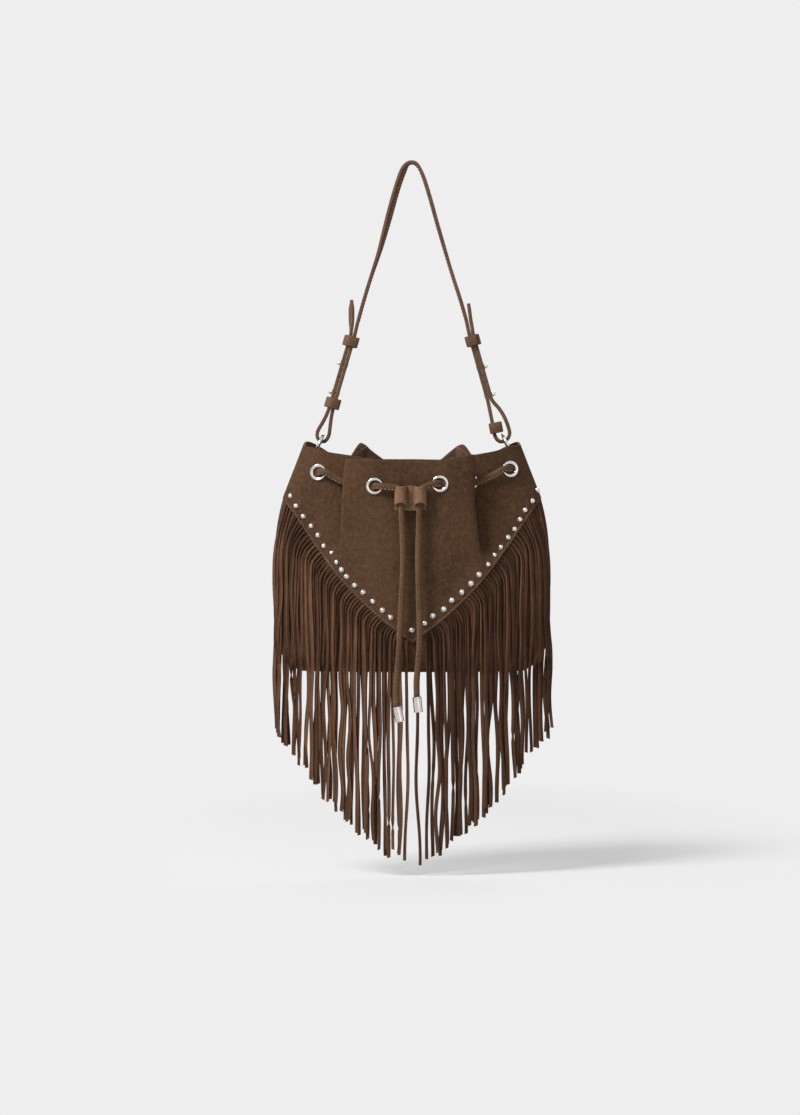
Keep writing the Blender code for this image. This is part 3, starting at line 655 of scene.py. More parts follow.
@dataclass(frozen=True)
class Suede:
    """A suede finish."""

    name: str
    base: Colour
    dark: Colour
    light: Colour
    rubbed: Colour
    wear: float = 0.5
    clouds: float = 26.0
    fibres: float = 1500.0
    bump: float = 0.22
    sheen: float = 0.22
    # painted shade on the fringe, read from its "shade" attribute
    painted_strand_shade: bool = False

    def material(self, groups: dict[str, bpy.types.NodeTree]) -> bpy.types.Material:
        """Builds the material.

        Args:
            groups: the shared node groups.

        Returns:
            The material.
        """
        made = bpy.data.materials.new(self.name)
        made.use_nodes = True
        s = Shade(made.node_tree)
        shader = s.tree.nodes["Principled BSDF"]
        nap = s.node("ShaderNodeGroup", node_tree=groups["nap"])
        for key, value in (("Base", self.base), ("Dark", self.dark), ("Light", self.light)):
            nap.inputs[key].default_value = (*value, 1.0)
        nap.inputs["Clouds"].default_value = self.clouds
        nap.inputs["Fibres"].default_value = self.fibres
        # the "wear" group: rubbed ridges as wear, and painted shade in the creases
        rubbed_and_shade = s.node("ShaderNodeGroup", node_tree=groups["wear"])
        s.put(rubbed_and_shade.inputs["Color"], nap.outputs["Color"])
        rubbed_and_shade.inputs["Rubbed"].default_value = (*self.rubbed, 1.0)
        rubbed_and_shade.inputs["Amount"].default_value = self.wear
        colour = rubbed_and_shade.outputs["Color"]
        # painted shade: the "shade" attribute darkens the right arm, the roots and one edge of each strand
        if self.painted_strand_shade:
            shade = s.node("ShaderNodeAttribute", attribute_name="shade").outputs["Fac"]
            tone = s.node("ShaderNodeCombineColor")
            for k, (low, high) in enumerate(((0.36, 1.40), (0.34, 1.32), (0.34, 1.28))):
                s.put(tone.inputs[k], s.span(shade, 0.0, 1.0, low, high))
            colour = s.mix(1.0, colour, tone.outputs[0], "MULTIPLY")
        s.put(shader.inputs["Base Color"], colour)
        s.put(shader.inputs["Roughness"], nap.outputs["Roughness"])
        shader.inputs["Sheen Weight"].default_value = self.sheen
        shader.inputs["Sheen Roughness"].default_value = 0.45
        shader.inputs["Sheen Tint"].default_value = (*self.rubbed, 1.0)
        shader.inputs["Specular IOR Level"].default_value = 0.12
        relief = s.node("ShaderNodeBump")
        relief.inputs["Strength"].default_value = self.bump
        relief.inputs["Distance"].default_value = 0.0006
        s.put(relief.inputs["Height"], nap.outputs["Height"])
        s.put(shader.inputs["Normal"], relief.outputs[0])
        made.diffuse_color = (*self.base, 1.0)
        return made


@dataclass(frozen=True)
class Silver:
    """A polished silver-coloured metal finish."""

    name: str
    clean: Colour = (0.66, 0.64, 0.60)
    dull: Colour = (0.30, 0.28, 0.25)

    def material(self, groups: dict[str, bpy.types.NodeTree]) -> bpy.types.Material:
        """Builds the material.

        Args:
            groups: the shared node groups.

        Returns:
            The material.
        """
        made = bpy.data.materials.new(self.name)
        made.use_nodes = True
        s = Shade(made.node_tree)
        shader = s.tree.nodes["Principled BSDF"]
        shader.inputs["Metallic"].default_value = 1.0
        marks = s.node("ShaderNodeGroup", node_tree=groups["handling"])
        marks.inputs["Clean"].default_value = (*self.clean, 1.0)
        marks.inputs["Dull"].default_value = (*self.dull, 1.0)
        s.put(shader.inputs["Base Color"], marks.outputs["Color"])
        s.put(shader.inputs["Roughness"], marks.outputs["Roughness"])
        relief = s.node("ShaderNodeBump")
        relief.inputs["Strength"].default_value = 0.02
        relief.inputs["Distance"].default_value = 0.0002
        s.put(relief.inputs["Height"], marks.outputs["Height"])
        s.put(shader.inputs["Normal"], relief.outputs[0])
        made.diffuse_color = (*self.clean, 1.0)
        return made


@dataclass
class Finishes:
    """Every material of the bag."""

    body: Suede = Suede(
        "body_suede", (0.072, 0.0365, 0.0192), (0.048, 0.0246, 0.0130), (0.114, 0.0600, 0.0325), (0.165, 0.095, 0.055),
        wear=0.6, clouds=20.0,
    )
    inside: Suede = Suede(
        "inside_suede", (0.150, 0.082, 0.054), (0.105, 0.056, 0.036), (0.190, 0.108, 0.072), (0.230, 0.135, 0.090),
        clouds=34.0,
    )
    fringe: Suede = Suede(
        "fringe_suede", (0.098, 0.0475, 0.0260), (0.056, 0.0275, 0.0155), (0.140, 0.072, 0.041), (0.185, 0.100, 0.060),
        wear=0.3, clouds=48.0, sheen=0.20, painted_strand_shade=True,
    )
    cut: Suede = Suede(
        "cut_edge_suede", (0.130, 0.070, 0.041), (0.085, 0.045, 0.026), (0.170, 0.096, 0.058), (0.20, 0.12, 0.075),
        clouds=60.0,
    )
    strap: Suede = Suede(
        "strap_suede", (0.118, 0.064, 0.040), (0.075, 0.040, 0.025), (0.165, 0.093, 0.059), (0.225, 0.132, 0.086)
    )
    cord: Suede = Suede(
        "cord_suede", (0.100, 0.054, 0.029), (0.062, 0.033, 0.018), (0.145, 0.081, 0.046), (0.205, 0.120, 0.072)
    )
    slide: Suede = Suede(
        "slide_suede", (0.200, 0.113, 0.067), (0.148, 0.081, 0.047), (0.255, 0.150, 0.093), (0.29, 0.18, 0.115)
    )
    thread: Suede = Suede(
        "sewing_thread", (0.255, 0.170, 0.108), (0.200, 0.130, 0.082), (0.32, 0.22, 0.145), (0.30, 0.21, 0.15),
        wear=0.3, clouds=90.0, fibres=4000.0, bump=0.12, sheen=0.05,
    )
    silver: Silver = Silver("polished_silver")
    made: dict[str, bpy.types.Material] = field(default_factory=dict)

    def build(self) -> None:
        """Makes the shared groups and every material."""
        # "wear" holds both rubbed ridges and painted crease shade
        groups = {"nap": nap_group(), "wear": wear_and_crease_shade_group(), "handling": handling_group()}
        for key in ("body", "inside", "fringe", "cut", "strap", "cord", "slide", "thread", "silver"):
            self.made[key] = getattr(self, key).material(groups)

    def dress(self, obj: bpy.types.Object, *keys: str) -> None:
        """Gives an object its materials.

        Args:
            obj: the object.
            keys: the finishes in slot order.
        """
        obj.data.materials.clear()
        for key in keys:
            obj.data.materials.append(self.made[key])


# ---------------------------------------------------------------- studio


@dataclass
class Studio:
    """Camera, lamps, floor and background."""

    aim_x: float = -0.0104
    aim_z: float = -0.3423
    away: float = 2.8
    field_tall: float = 0.970
    floor: float = -0.616
    backdrop: float = 0.858

    def camera(self) -> None:
        """Puts the camera level in front of the bag."""
        data = bpy.data.cameras.new("camera")
        data.sensor_width = 36.0
        data.lens = 36.0 * self.away / self.field_tall
        made = bpy.data.objects.new("camera", data)
        bpy.context.scene.collection.objects.link(made)
        made.location = (self.aim_x, -self.away, self.aim_z)
        made.rotation_euler = (math.pi / 2, 0.0, 0.0)
        bpy.context.scene.camera = made

    def lamp(self, name: str, place: tuple[float, float, float], size: float, power: float) -> None:
        """An area lamp that points at the bag.

        Args:
            name: its name.
            place: where it stands.
            size: its side in metres.
            power: its power in watts.
        """
        data = bpy.data.lights.new(name, "AREA")
        data.shape = "SQUARE"
        data.size = size
        data.energy = power
        made = bpy.data.objects.new(name, data)
        bpy.context.scene.collection.objects.link(made)
        made.location = place
        made.rotation_mode = "QUATERNION"
        made.rotation_quaternion = (Vector((0.0, 0.0, -0.36)) - Vector(place)).to_track_quat("-Z", "Y")

    def lights(self) -> None:
        """A soft key from upper left, a weak fill and a rim from behind."""
        self.lamp("key", (-1.55, -1.48, 1.72), 1.0, 102.0)
        self.lamp("fill", (0.9, -2.3, 0.2), 1.6, 5.0)
        self.lamp("back", (0.5, 1.7, 1.2), 1.2, 14.0)

    def world(self) -> None:
        """A pale background for the camera and for what metal mirrors, and an even light on the rest."""
        world = bpy.data.worlds.new("studio")
        bpy.context.scene.world = world
        world.use_nodes = True
        s = Shade(world.node_tree)
        s.tree.nodes.clear()
        ambient = s.node("ShaderNodeBackground")
        ambient.inputs["Color"].default_value = (1.0, 1.0, 1.0, 1.0)
        ambient.inputs["Strength"].default_value = 0.26
        plain = s.node("ShaderNodeBackground")
        plain.inputs["Color"].default_value = (self.backdrop,) * 3 + (1.0,)
        path = s.node("ShaderNodeLightPath").outputs
        clear = s.math("MAXIMUM", path["Is Glossy Ray"], path["Is Transmission Ray"])
        seen = s.node("ShaderNodeMixShader")
        s.put(seen.inputs[0], s.math("MAXIMUM", path["Is Camera Ray"], clear))
        s.put(seen.inputs[1], ambient.outputs[0])
        s.put(seen.inputs[2], plain.outputs[0])
        s.put(s.node("ShaderNodeOutputWorld").inputs[0], seen.outputs[0])

    def ground(self) -> None:
        """A plain pale floor that keeps the bag's shadow and fades into the background."""
        only(bpy.context.scene.camera)
        bpy.ops.mesh.primitive_plane_add(size=24.0, location=(0.0, 0.0, 0.0))
        floor = bpy.context.object
        floor.name = "floor"
        bpy.ops.object.mode_set(mode="EDIT")
        bpy.ops.mesh.select_all(action="SELECT")
        bpy.ops.mesh.subdivide(number_cuts=6)
        bpy.ops.object.mode_set(mode="OBJECT")
        move_mesh(floor, Matrix.Translation((0.0, 10.68, self.floor)))
        made = bpy.data.materials.new("pale_floor")
        made.use_nodes = True
        s = Shade(made.node_tree)
        shader = s.tree.nodes["Principled BSDF"]
        shader.inputs["Roughness"].default_value = 1.0
        shader.inputs["Specular IOR Level"].default_value = 0.0
        where = s.node("ShaderNodeTexCoord").outputs["Object"]
        tone = s.span(s.noise(where, 1.4, 2.0), 0.3, 0.7, 0.755, 0.775)
        pale = s.node("ShaderNodeCombineColor")
        for k in range(3):
            s.put(pale.inputs[k], tone)
        s.put(shader.inputs["Base Color"], pale.outputs[0])
        centre = s.node("ShaderNodeMapping")
        centre.inputs["Location"].default_value = (-0.06, -0.35, 0.0)
        s.put(centre.inputs["Vector"], where)
        flat = s.node("ShaderNodeVectorMath", operation="MULTIPLY")
        s.put(flat.inputs[0], centre.outputs[0])
        flat.inputs[1].default_value = (1.9, 0.8, 0.0)
        reach = s.node("ShaderNodeVectorMath", operation="LENGTH")
        s.put(reach.inputs[0], flat.outputs[0])
        glow = s.node("ShaderNodeEmission")
        glow.inputs["Color"].default_value = (self.backdrop,) * 3 + (1.0,)
        fade = s.span(reach.outputs["Value"], 0.30, 0.68, 0.45, 1.0)
        path = s.node("ShaderNodeLightPath").outputs
        clear = s.math("MAXIMUM", path["Is Glossy Ray"], path["Is Transmission Ray"])
        seen = s.math("MAXIMUM", path["Is Camera Ray"], clear)
        both = s.node("ShaderNodeMixShader")
        s.put(both.inputs[0], s.math("MULTIPLY", fade, seen))
        s.put(both.inputs[1], shader.outputs[0])
        s.put(both.inputs[2], glow.outputs[0])
        s.put(s.tree.nodes["Material Output"].inputs[0], both.outputs[0])
        floor.data.materials.append(made)

    def build(self) -> None:
        """Makes the whole studio."""
        view = bpy.context.scene.view_settings
        view.view_transform = "Standard"
        self.camera()
        self.lights()
        self.world()
        self.ground()


# ---------------------------------------------------------------- the shell


@dataclass
class Shell:
    """The bag's outer surface: an oval body that gathers into pleats at the mouth."""

    wall: float = 2.0 * MM
    bottom: float = -441.0 * MM
    widths: Table = (
        (-441.0, 97.0), (-437.0, 104.0), (-431.0, 110.5), (-420.0, 116.5), (-400.0, 119.8), (-370.0, 120.4),
        (-344.0, 119.8), (-317.5, 117.6), (-294.6, 113.0), (-278.0, 107.4), (-260.0, 100.5), (-242.0, 93.6),
    )
    depths: Table = (
        (-441.0, 33.0, 66.0), (-437.0, 36.5, 70.0), (-431.0, 39.5, 74.0), (-420.0, 41.0, 77.0), (-400.0, 42.0, 79.0),
        (-350.0, 43.5, 75.0), (-300.0, 46.5, 62.0), (-242.0, 49.0, 46.0),
    )
    mouth_half: float = 94.0
    mouth_deep: tuple[float, float] = (49.0, 45.6)
    pleats: tuple[float, float] = (-385.0, -288.0)
    front_mouth: Table = (
        (0.0, -49.0, -258.2, -258.2), (28.0, -48.6, -258.2, -258.4), (46.0, -47.0, -258.0, -255.8),
        (53.5, -44.8, -257.8, -254.2), (56.5, -41.0, -257.6, -254.0), (53.5, -37.4, -257.8, -254.4),
        (44.0, -35.6, -258.2, -256.0), (37.5, -33.2, -258.0, -256.8), (34.8, -29.0, -257.5, -256.8),
        (37.5, -24.8, -256.8, -256.0), (46.0, -23.2, -255.0, -254.6), (58.0, -22.4, -253.2, -252.6),
        (72.0, -19.6, -250.8, -249.8), (84.0, -14.6, -247.2, -245.6), (91.6, -7.2, -245.5, -244.6),
        (94.0, -1.6, -243.9, -243.6), (94.0, 0.0, -243.0, -243.0),
    )
    back_mouth: Table = (
        (94.0, 0.0, -243.0, -243.0), (94.0, 1.6, -242.2, -242.2), (91.6, 7.2, -240.9, -241.4),
        (84.0, 14.8, -243.4, -244.0), (72.0, 19.4, -249.6, -249.6), (61.0, 20.6, -256.4, -256.4),
        (53.0, 20.4, -255.5, -255.5), (47.5, 20.8, -250.0, -250.0), (43.0, 22.4, -246.0, -246.4),
        (40.6, 26.0, -244.6, -245.2), (43.2, 29.6, -245.6, -246.0), (50.0, 31.0, -252.5, -252.5),
        (55.6, 33.6, -256.6, -256.6), (57.0, 37.6, -257.0, -257.0), (53.6, 41.4, -253.6, -254.2),
        (46.8, 43.2, -241.6, -243.0), (41.0, 44.1, -242.6, -243.2), (35.0, 44.7, -247.8, -247.4),
        (19.0, 45.4, -258.4, -259.2), (0.0, 45.6, -263.5, -263.5),
    )
    v_edge: Table = (
        (0.0, -415.5), (10.0, -408.2), (26.0, -396.0), (42.0, -381.4), (56.0, -366.8), (67.0, -353.8),
        (79.0, -338.0), (90.0, -322.2), (100.0, -307.0), (111.0, -291.3), (125.0, -271.8),
    )
    proud: float = 2.1 * MM
    # how much nearer the middle each front fold lies, in mm, at the mouth and lower down
    folds_in: tuple = ((Half.LEFT, 1.0, 3.2), (Half.RIGHT, 4.5, 10.0))

    def __post_init__(self) -> None:
        """Reads the two outlines of the mouth."""
        self.outlines: dict[Quarter, Track] = {}
        self.rims: dict[tuple[Quarter, Half], list[float]] = {}
        for quarter, rows in ((Quarter.FRONT, self.front_mouth), (Quarter.BACK, self.back_mouth)):
            self.outlines[quarter] = Track(through([Vector((r[0], r[1], 0.0)) for r in rows]))
            for half, column in ((Half.LEFT, 2), (Half.RIGHT, 3)):
                self.rims[quarter, half] = [v.x for v in through([Vector((r[column], 0.0, 0.0)) for r in rows])]
        self.levels: dict[int, list[tuple[float, float]]] = {}

    def rim(self, quarter: Quarter, half: Half, share: float) -> float:
        """The height of the mouth's edge.

        Args:
            quarter: front or back.
            half: left or right.
            share: the share of the way along the quarter.

        Returns:
            The height in metres.
        """
        track = self.outlines[quarter]
        far = share * track.length
        k = min(max(bisect_right(track.far, far) - 1, 0), len(track.far) - 2)
        span = track.far[k + 1] - track.far[k]
        t = min(max((far - track.far[k]) / span, 0.0), 1.0) if span else 0.0
        rims = self.rims[quarter, half]
        return (rims[k] * (1 - t) + rims[k + 1] * t) * MM

    def point(self, quarter: Quarter, half: Half, share: float, z: float) -> Vector:
        """A point of the outer surface.

        Args:
            quarter: front or back.
            half: left or right.
            share: the share of the way along the quarter.
            z: the height in metres.

        Returns:
            The point.
        """
        level = z / MM
        front = quarter is Quarter.FRONT
        pleat = ease((level - self.pleats[0]) / (self.pleats[1] - self.pleats[0]))
        wide = read_smooth(self.widths, level)
        deep = read_smooth(self.depths, level, 1 if front else 2)
        mouth = self.outlines[quarter].at(share * self.outlines[quarter].length)
        if front:
            turn = (share - 0.15 * math.sin(2 * math.pi * share) / math.pi) * math.pi / 2
            sine, cosine = math.sin(turn), math.cos(turn)
        else:
            turn = math.pi / 2 - (1 - share - 0.15 * math.sin(2 * math.pi * (1 - share)) / math.pi) * math.pi / 2
            sine, cosine = math.sin(math.pi / 2 + turn), math.cos(math.pi / 2 + turn)
        spread = mouth.x + (wide - self.mouth_half) * (mouth.x / self.mouth_half) ** 2
        folded = mouth.y * deep / self.mouth_deep[0 if front else 1]
        x = (1 - pleat) * wide * sine + pleat * spread
        y = -(1 - pleat) * deep * cosine + pleat * folded
        if front:
            top, low = next(row[1:] for row in self.folds_in if row[0] is half)
            here = ease((share - 0.16) / 0.13) * (1 - ease((share - 0.45) / 0.13))
            x -= pleat * here * (top + (low - top) * ease((-258.0 - level) / 42.0))
        return Vector((half.value * x * MM, y * MM, z))

    def frame(self, quarter: Quarter, half: Half, share: float, z: float) -> tuple[Vector, Vector]:
        """A point of the surface and the way out of it.

        Args:
            quarter: front or back.
            half: left or right.
            share: the share of the way along the quarter.
            z: the height in metres.

        Returns:
            The point and the unit normal.
        """
        step = 0.004
        here = self.point(quarter, half, share, z)
        last, following = max(0.0, share - step), min(1.0, share + step)
        ahead = self.point(quarter, half, following, z) - self.point(quarter, half, last, z)
        up = self.point(quarter, half, share, z + MM) - self.point(quarter, half, share, z - MM)
        return here, ahead.cross(up).normalized() * half.value

    def seam(self, half: Half, share: float) -> float:
        """The height of the V edge.

        Args:
            half: left or right.
            share: the share of the way along the front.

        Returns:
            The height in metres.
        """
        z = -0.350
        for _ in range(20):
            x = abs(self.point(Quarter.FRONT, half, share, z).x)
            z += 0.6 * (read_smooth(self.v_edge, x / MM) * MM - z)
        return z

    def front_y(self, x: float, z: float) -> float:
        """How far forward the body reaches.

        Args:
            x: across, in metres.
            z: the height in metres.

        Returns:
            The front surface's y, or the last one towards the side.
        """
        level = round(z / MM / 3)
        if level not in self.levels:
            best: dict[int, float] = {}
            for k in range(241):
                p = self.point(Quarter.FRONT, Half.RIGHT, k / 240, level * 3 * MM)
                slot = round(p.x / MM)
                best[slot] = min(best.get(slot, 1.0), p.y)
            self.levels[level] = sorted(best.items())
        rows = self.levels[level]
        at = abs(x) / MM
        k = min(max(bisect_right([r[0] for r in rows], at) - 1, 0), len(rows) - 2)
        t = min(max((at - rows[k][0]) / (rows[k + 1][0] - rows[k][0]), 0.0), 1.0)
        return rows[k][1] * (1 - t) + rows[k + 1][1] * t

    def drape(self, quarter: Quarter, half: Half, share: float, z: float, size: float = 1.0) -> float:
        """How far the cloth stands off its smooth shape, from soft folds.

        Args:
            quarter: front or back.
            half: left or right.
            share: the share of the way along the quarter.
            z: the height in metres.
            size: how deep the broad folds are.

        Returns:
            The offset along the normal in metres.
        """
        run = share * self.outlines[quarter].length * half.value + (0.0 if quarter is Quarter.FRONT else 700.0)
        level = z / MM
        near_cord = math.exp(-(((level + 279.0) / 26.0) ** 2))
        broad = waver(run / 30.0, level / 80.0, 3.1) * 1.1 * size
        gather = waver(run / 9.0, level / 55.0, 8.7) * (0.55 * near_cord + 0.22)
        fine = waver(run / 4.2, level / 9.0, 1.7) * 0.09
        floor = ease((level + 441.0) / 40.0)
        return (broad * (1 - 0.5 * near_cord) + gather + fine) * 0.8 * MM * floor

    def skin(self, quarter: Quarter, half: Half, share: float, z: float, extra: float = 0.0) -> Vector:
        """A point of the draped surface.

        Args:
            quarter: front or back.
            half: left or right.
            share: the share of the way along the quarter.
            z: the height in metres.
            extra: how much further out, in metres.

        Returns:
            The point.
        """
        here, out = self.frame(quarter, half, share, z)
        fade = ease(min(share, 1 - share) / 0.05) if quarter is Quarter.BACK else ease((1 - share) / 0.05)
        above = z / MM - read_smooth(self.v_edge, abs(here.x) / MM) if quarter is Quarter.FRONT else 0.0
        size = 1.0 + 2.0 * ease((above - 6.0) / 34.0)
        return here + out * (self.drape(quarter, half, share, z, size) * fade + extra)

    def place_on_front(self, x: float, z: float, extra: float = 0.0) -> tuple[Vector, Vector]:
        """The front-most point of the skin at a place.

        Args:
            x: across, in metres.
            z: the height in metres.
            extra: how much further out, in metres.

        Returns:
            The point and the way out there.
        """
        half = Half.LEFT if x < 0 else Half.RIGHT
        best: tuple[float, float] | None = None
        last = self.point(Quarter.FRONT, half, 0.0, z)
        for k in range(1, 321):
            share = k / 320
            here = self.point(Quarter.FRONT, half, share, z)
            if (abs(last.x) - abs(x)) * (abs(here.x) - abs(x)) <= 0 and (best is None or here.y < best[1]):
                best = (share, here.y)
            last = here
        share = best[0] if best else 0.995
        _, out = self.frame(Quarter.FRONT, half, share, z)
        return self.skin(Quarter.FRONT, half, share, z, extra), out


@dataclass
class Body:
    """The sewn panels of the bag."""

    shell: Shell
    finishes: Finishes
    front_columns: int = 128
    back_columns: int = 120
    yoke_rows: int = 42
    lower_rows: int = 26
    back_rows: int = 64

    def panel(
        self, name: str, columns: Sequence[tuple[Quarter, Half, float]], low: Callable, high: Callable, rows: int,
        lift: Callable,
    ) -> bpy.types.Object:
        """A closed panel of the shell.

        Args:
            name: the piece's name.
            columns: quarter, half and share of each column.
            low: gives a column's lowest height.
            high: gives a column's highest height.
            rows: how many rows of faces.
            lift: gives the extra distance out for a column and height.

        Returns:
            The new object.
        """
        verts, faces = [], []
        for quarter, half, share in columns:
            bottom, top = low(quarter, half, share), high(quarter, half, share)
            for k in range(rows + 1):
                z = bottom + (top - bottom) * k / rows
                verts.append(self.shell.skin(quarter, half, share, z, lift(quarter, half, share, z)))
        for c in range(len(columns) - 1):
            for k in range(rows):
                a = c * (rows + 1) + k
                faces.append((a, a + rows + 1, a + rows + 2, a + 1))
        mesh = bpy.data.meshes.new(name)
        mesh.from_pydata([tuple(v) for v in verts], [], faces)
        made = bpy.data.objects.new(name, mesh)
        bpy.context.scene.collection.objects.link(made)
        self.finishes.dress(made, "body", "inside", "cut")
        thick = made.modifiers.new("thickness", "SOLIDIFY")
        thick.thickness = self.shell.wall
        thick.offset = -1
        thick.material_offset = 1
        thick.material_offset_rim = 2
        edge = made.modifiers.new("edge", "BEVEL")
        edge.width = 0.35 * MM
        edge.segments = 2
        edge.limit_method = "ANGLE"
        edge.angle_limit = math.radians(60)
        settle(made)
        soften(made, 60.0)
        return made

    def columns(self, quarter: Quarter, count: int) -> list[tuple[Quarter, Half, float]]:
        """The columns of one face from seam to seam, its outside towards the viewer of that face.

        Args:
            quarter: front or back.
            count: how many steps there are to each side.

        Returns:
            Quarter, half and share of each.
        """
        trim = 0.0009
        if quarter is Quarter.FRONT:
            shares = [(1 - trim) * k / count for k in range(count + 1)]
            left = [(quarter, Half.LEFT, s) for s in reversed(shares)]
            return left + [(quarter, Half.RIGHT, s) for s in shares[1:]]
        shares = [trim + (1 - trim) * k / count for k in range(count + 1)]
        return [(quarter, Half.RIGHT, s) for s in shares] + [(quarter, Half.LEFT, s) for s in reversed(shares[:-1])]

    def build(self) -> list[bpy.types.Object]:
        """Makes and dresses yoke, lower front, back and base.

        Returns:
            The pieces.
        """
        shell = self.shell
        floor = shell.bottom + 0.3 * MM

        front = self.columns(Quarter.FRONT, self.front_columns)
        back = self.columns(Quarter.BACK, self.back_columns)
        seams = {(half, share): shell.seam(half, share) for _, half, share in front}

        def over_seam(_: Quarter, half: Half, share: float, z: float) -> float:
            """The yoke stands proud over the fringe along its V edge."""
            over = (z - seams[half, share]) / (26.0 * MM)
            return shell.proud * (1 - ease(over)) * ease((1 - share) / 0.04)

        def flush(*_: object) -> float:
            """The other panels follow the shell."""
            return 0.0

        def on_floor(*_: object) -> float:
            """Where the lower front and the back end."""
            return floor

        def under_seam(_: Quarter, half: Half, share: float) -> float:
            """Where the lower front starts."""
            return seams[half, share] - 0.3 * MM

        yoke = self.panel("yoke", front, lambda q, h, s: seams[h, s], shell.rim, self.yoke_rows, over_seam)
        lower = self.panel("lower_front", front, on_floor, under_seam, self.lower_rows, flush)
        rear = self.panel("back", back, on_floor, shell.rim, self.back_rows, flush)
        pieces = [yoke, lower, rear, self.base(front, back)]
        for piece, node in zip(pieces, ("front_yoke", "front_lower", "back_panel", "base_panel")):
            takes_place(piece, node)
            log.info("%s: %d points", piece.name, len(piece.data.vertices))
        return pieces

    def base(self, front: Sequence[tuple], back: Sequence[tuple]) -> bpy.types.Object:
        """The flat oval base with a rounded, sewn edge.

        Args:
            front: the front's columns.
            back: the back's columns.

        Returns:
            The new object.
        """
        outline = [self.shell.point(q, h, s, self.shell.bottom) for q, h, s in list(front)[:-1] + list(back)[:-1]]
        centre = Vector((0.0, 0.016, 0.0))
        verts: list[Vector] = []
        rings = (
            (0.0, 0.0), (0.45, 0.0), (0.80, 0.0), (0.93, 0.0), (0.972, 0.15), (0.978, 0.8), (0.976, 1.8),
            (0.965, 2.35), (0.93, 2.4), (0.80, 2.3), (0.45, 2.1), (0.0, 2.1),
        )
        for share, rise in rings:
            for p in outline:
                x, y = centre.x + (p.x - centre.x) * share, centre.y + (p.y - centre.y) * share
                verts.append(Vector((x, y, self.shell.bottom + rise * MM)))
        n = len(outline)
        faces = [
            (k * n + j, k * n + (j + 1) % n, (k + 1) * n + (j + 1) % n, (k + 1) * n + j)
            for k in range(len(rings) - 1) for j in range(n)
        ]
        made = mesh_piece("base", verts, faces, 50.0)
        self.finishes.dress(made, "body")
        return made


# ---------------------------------------------------------------- fringe and studs


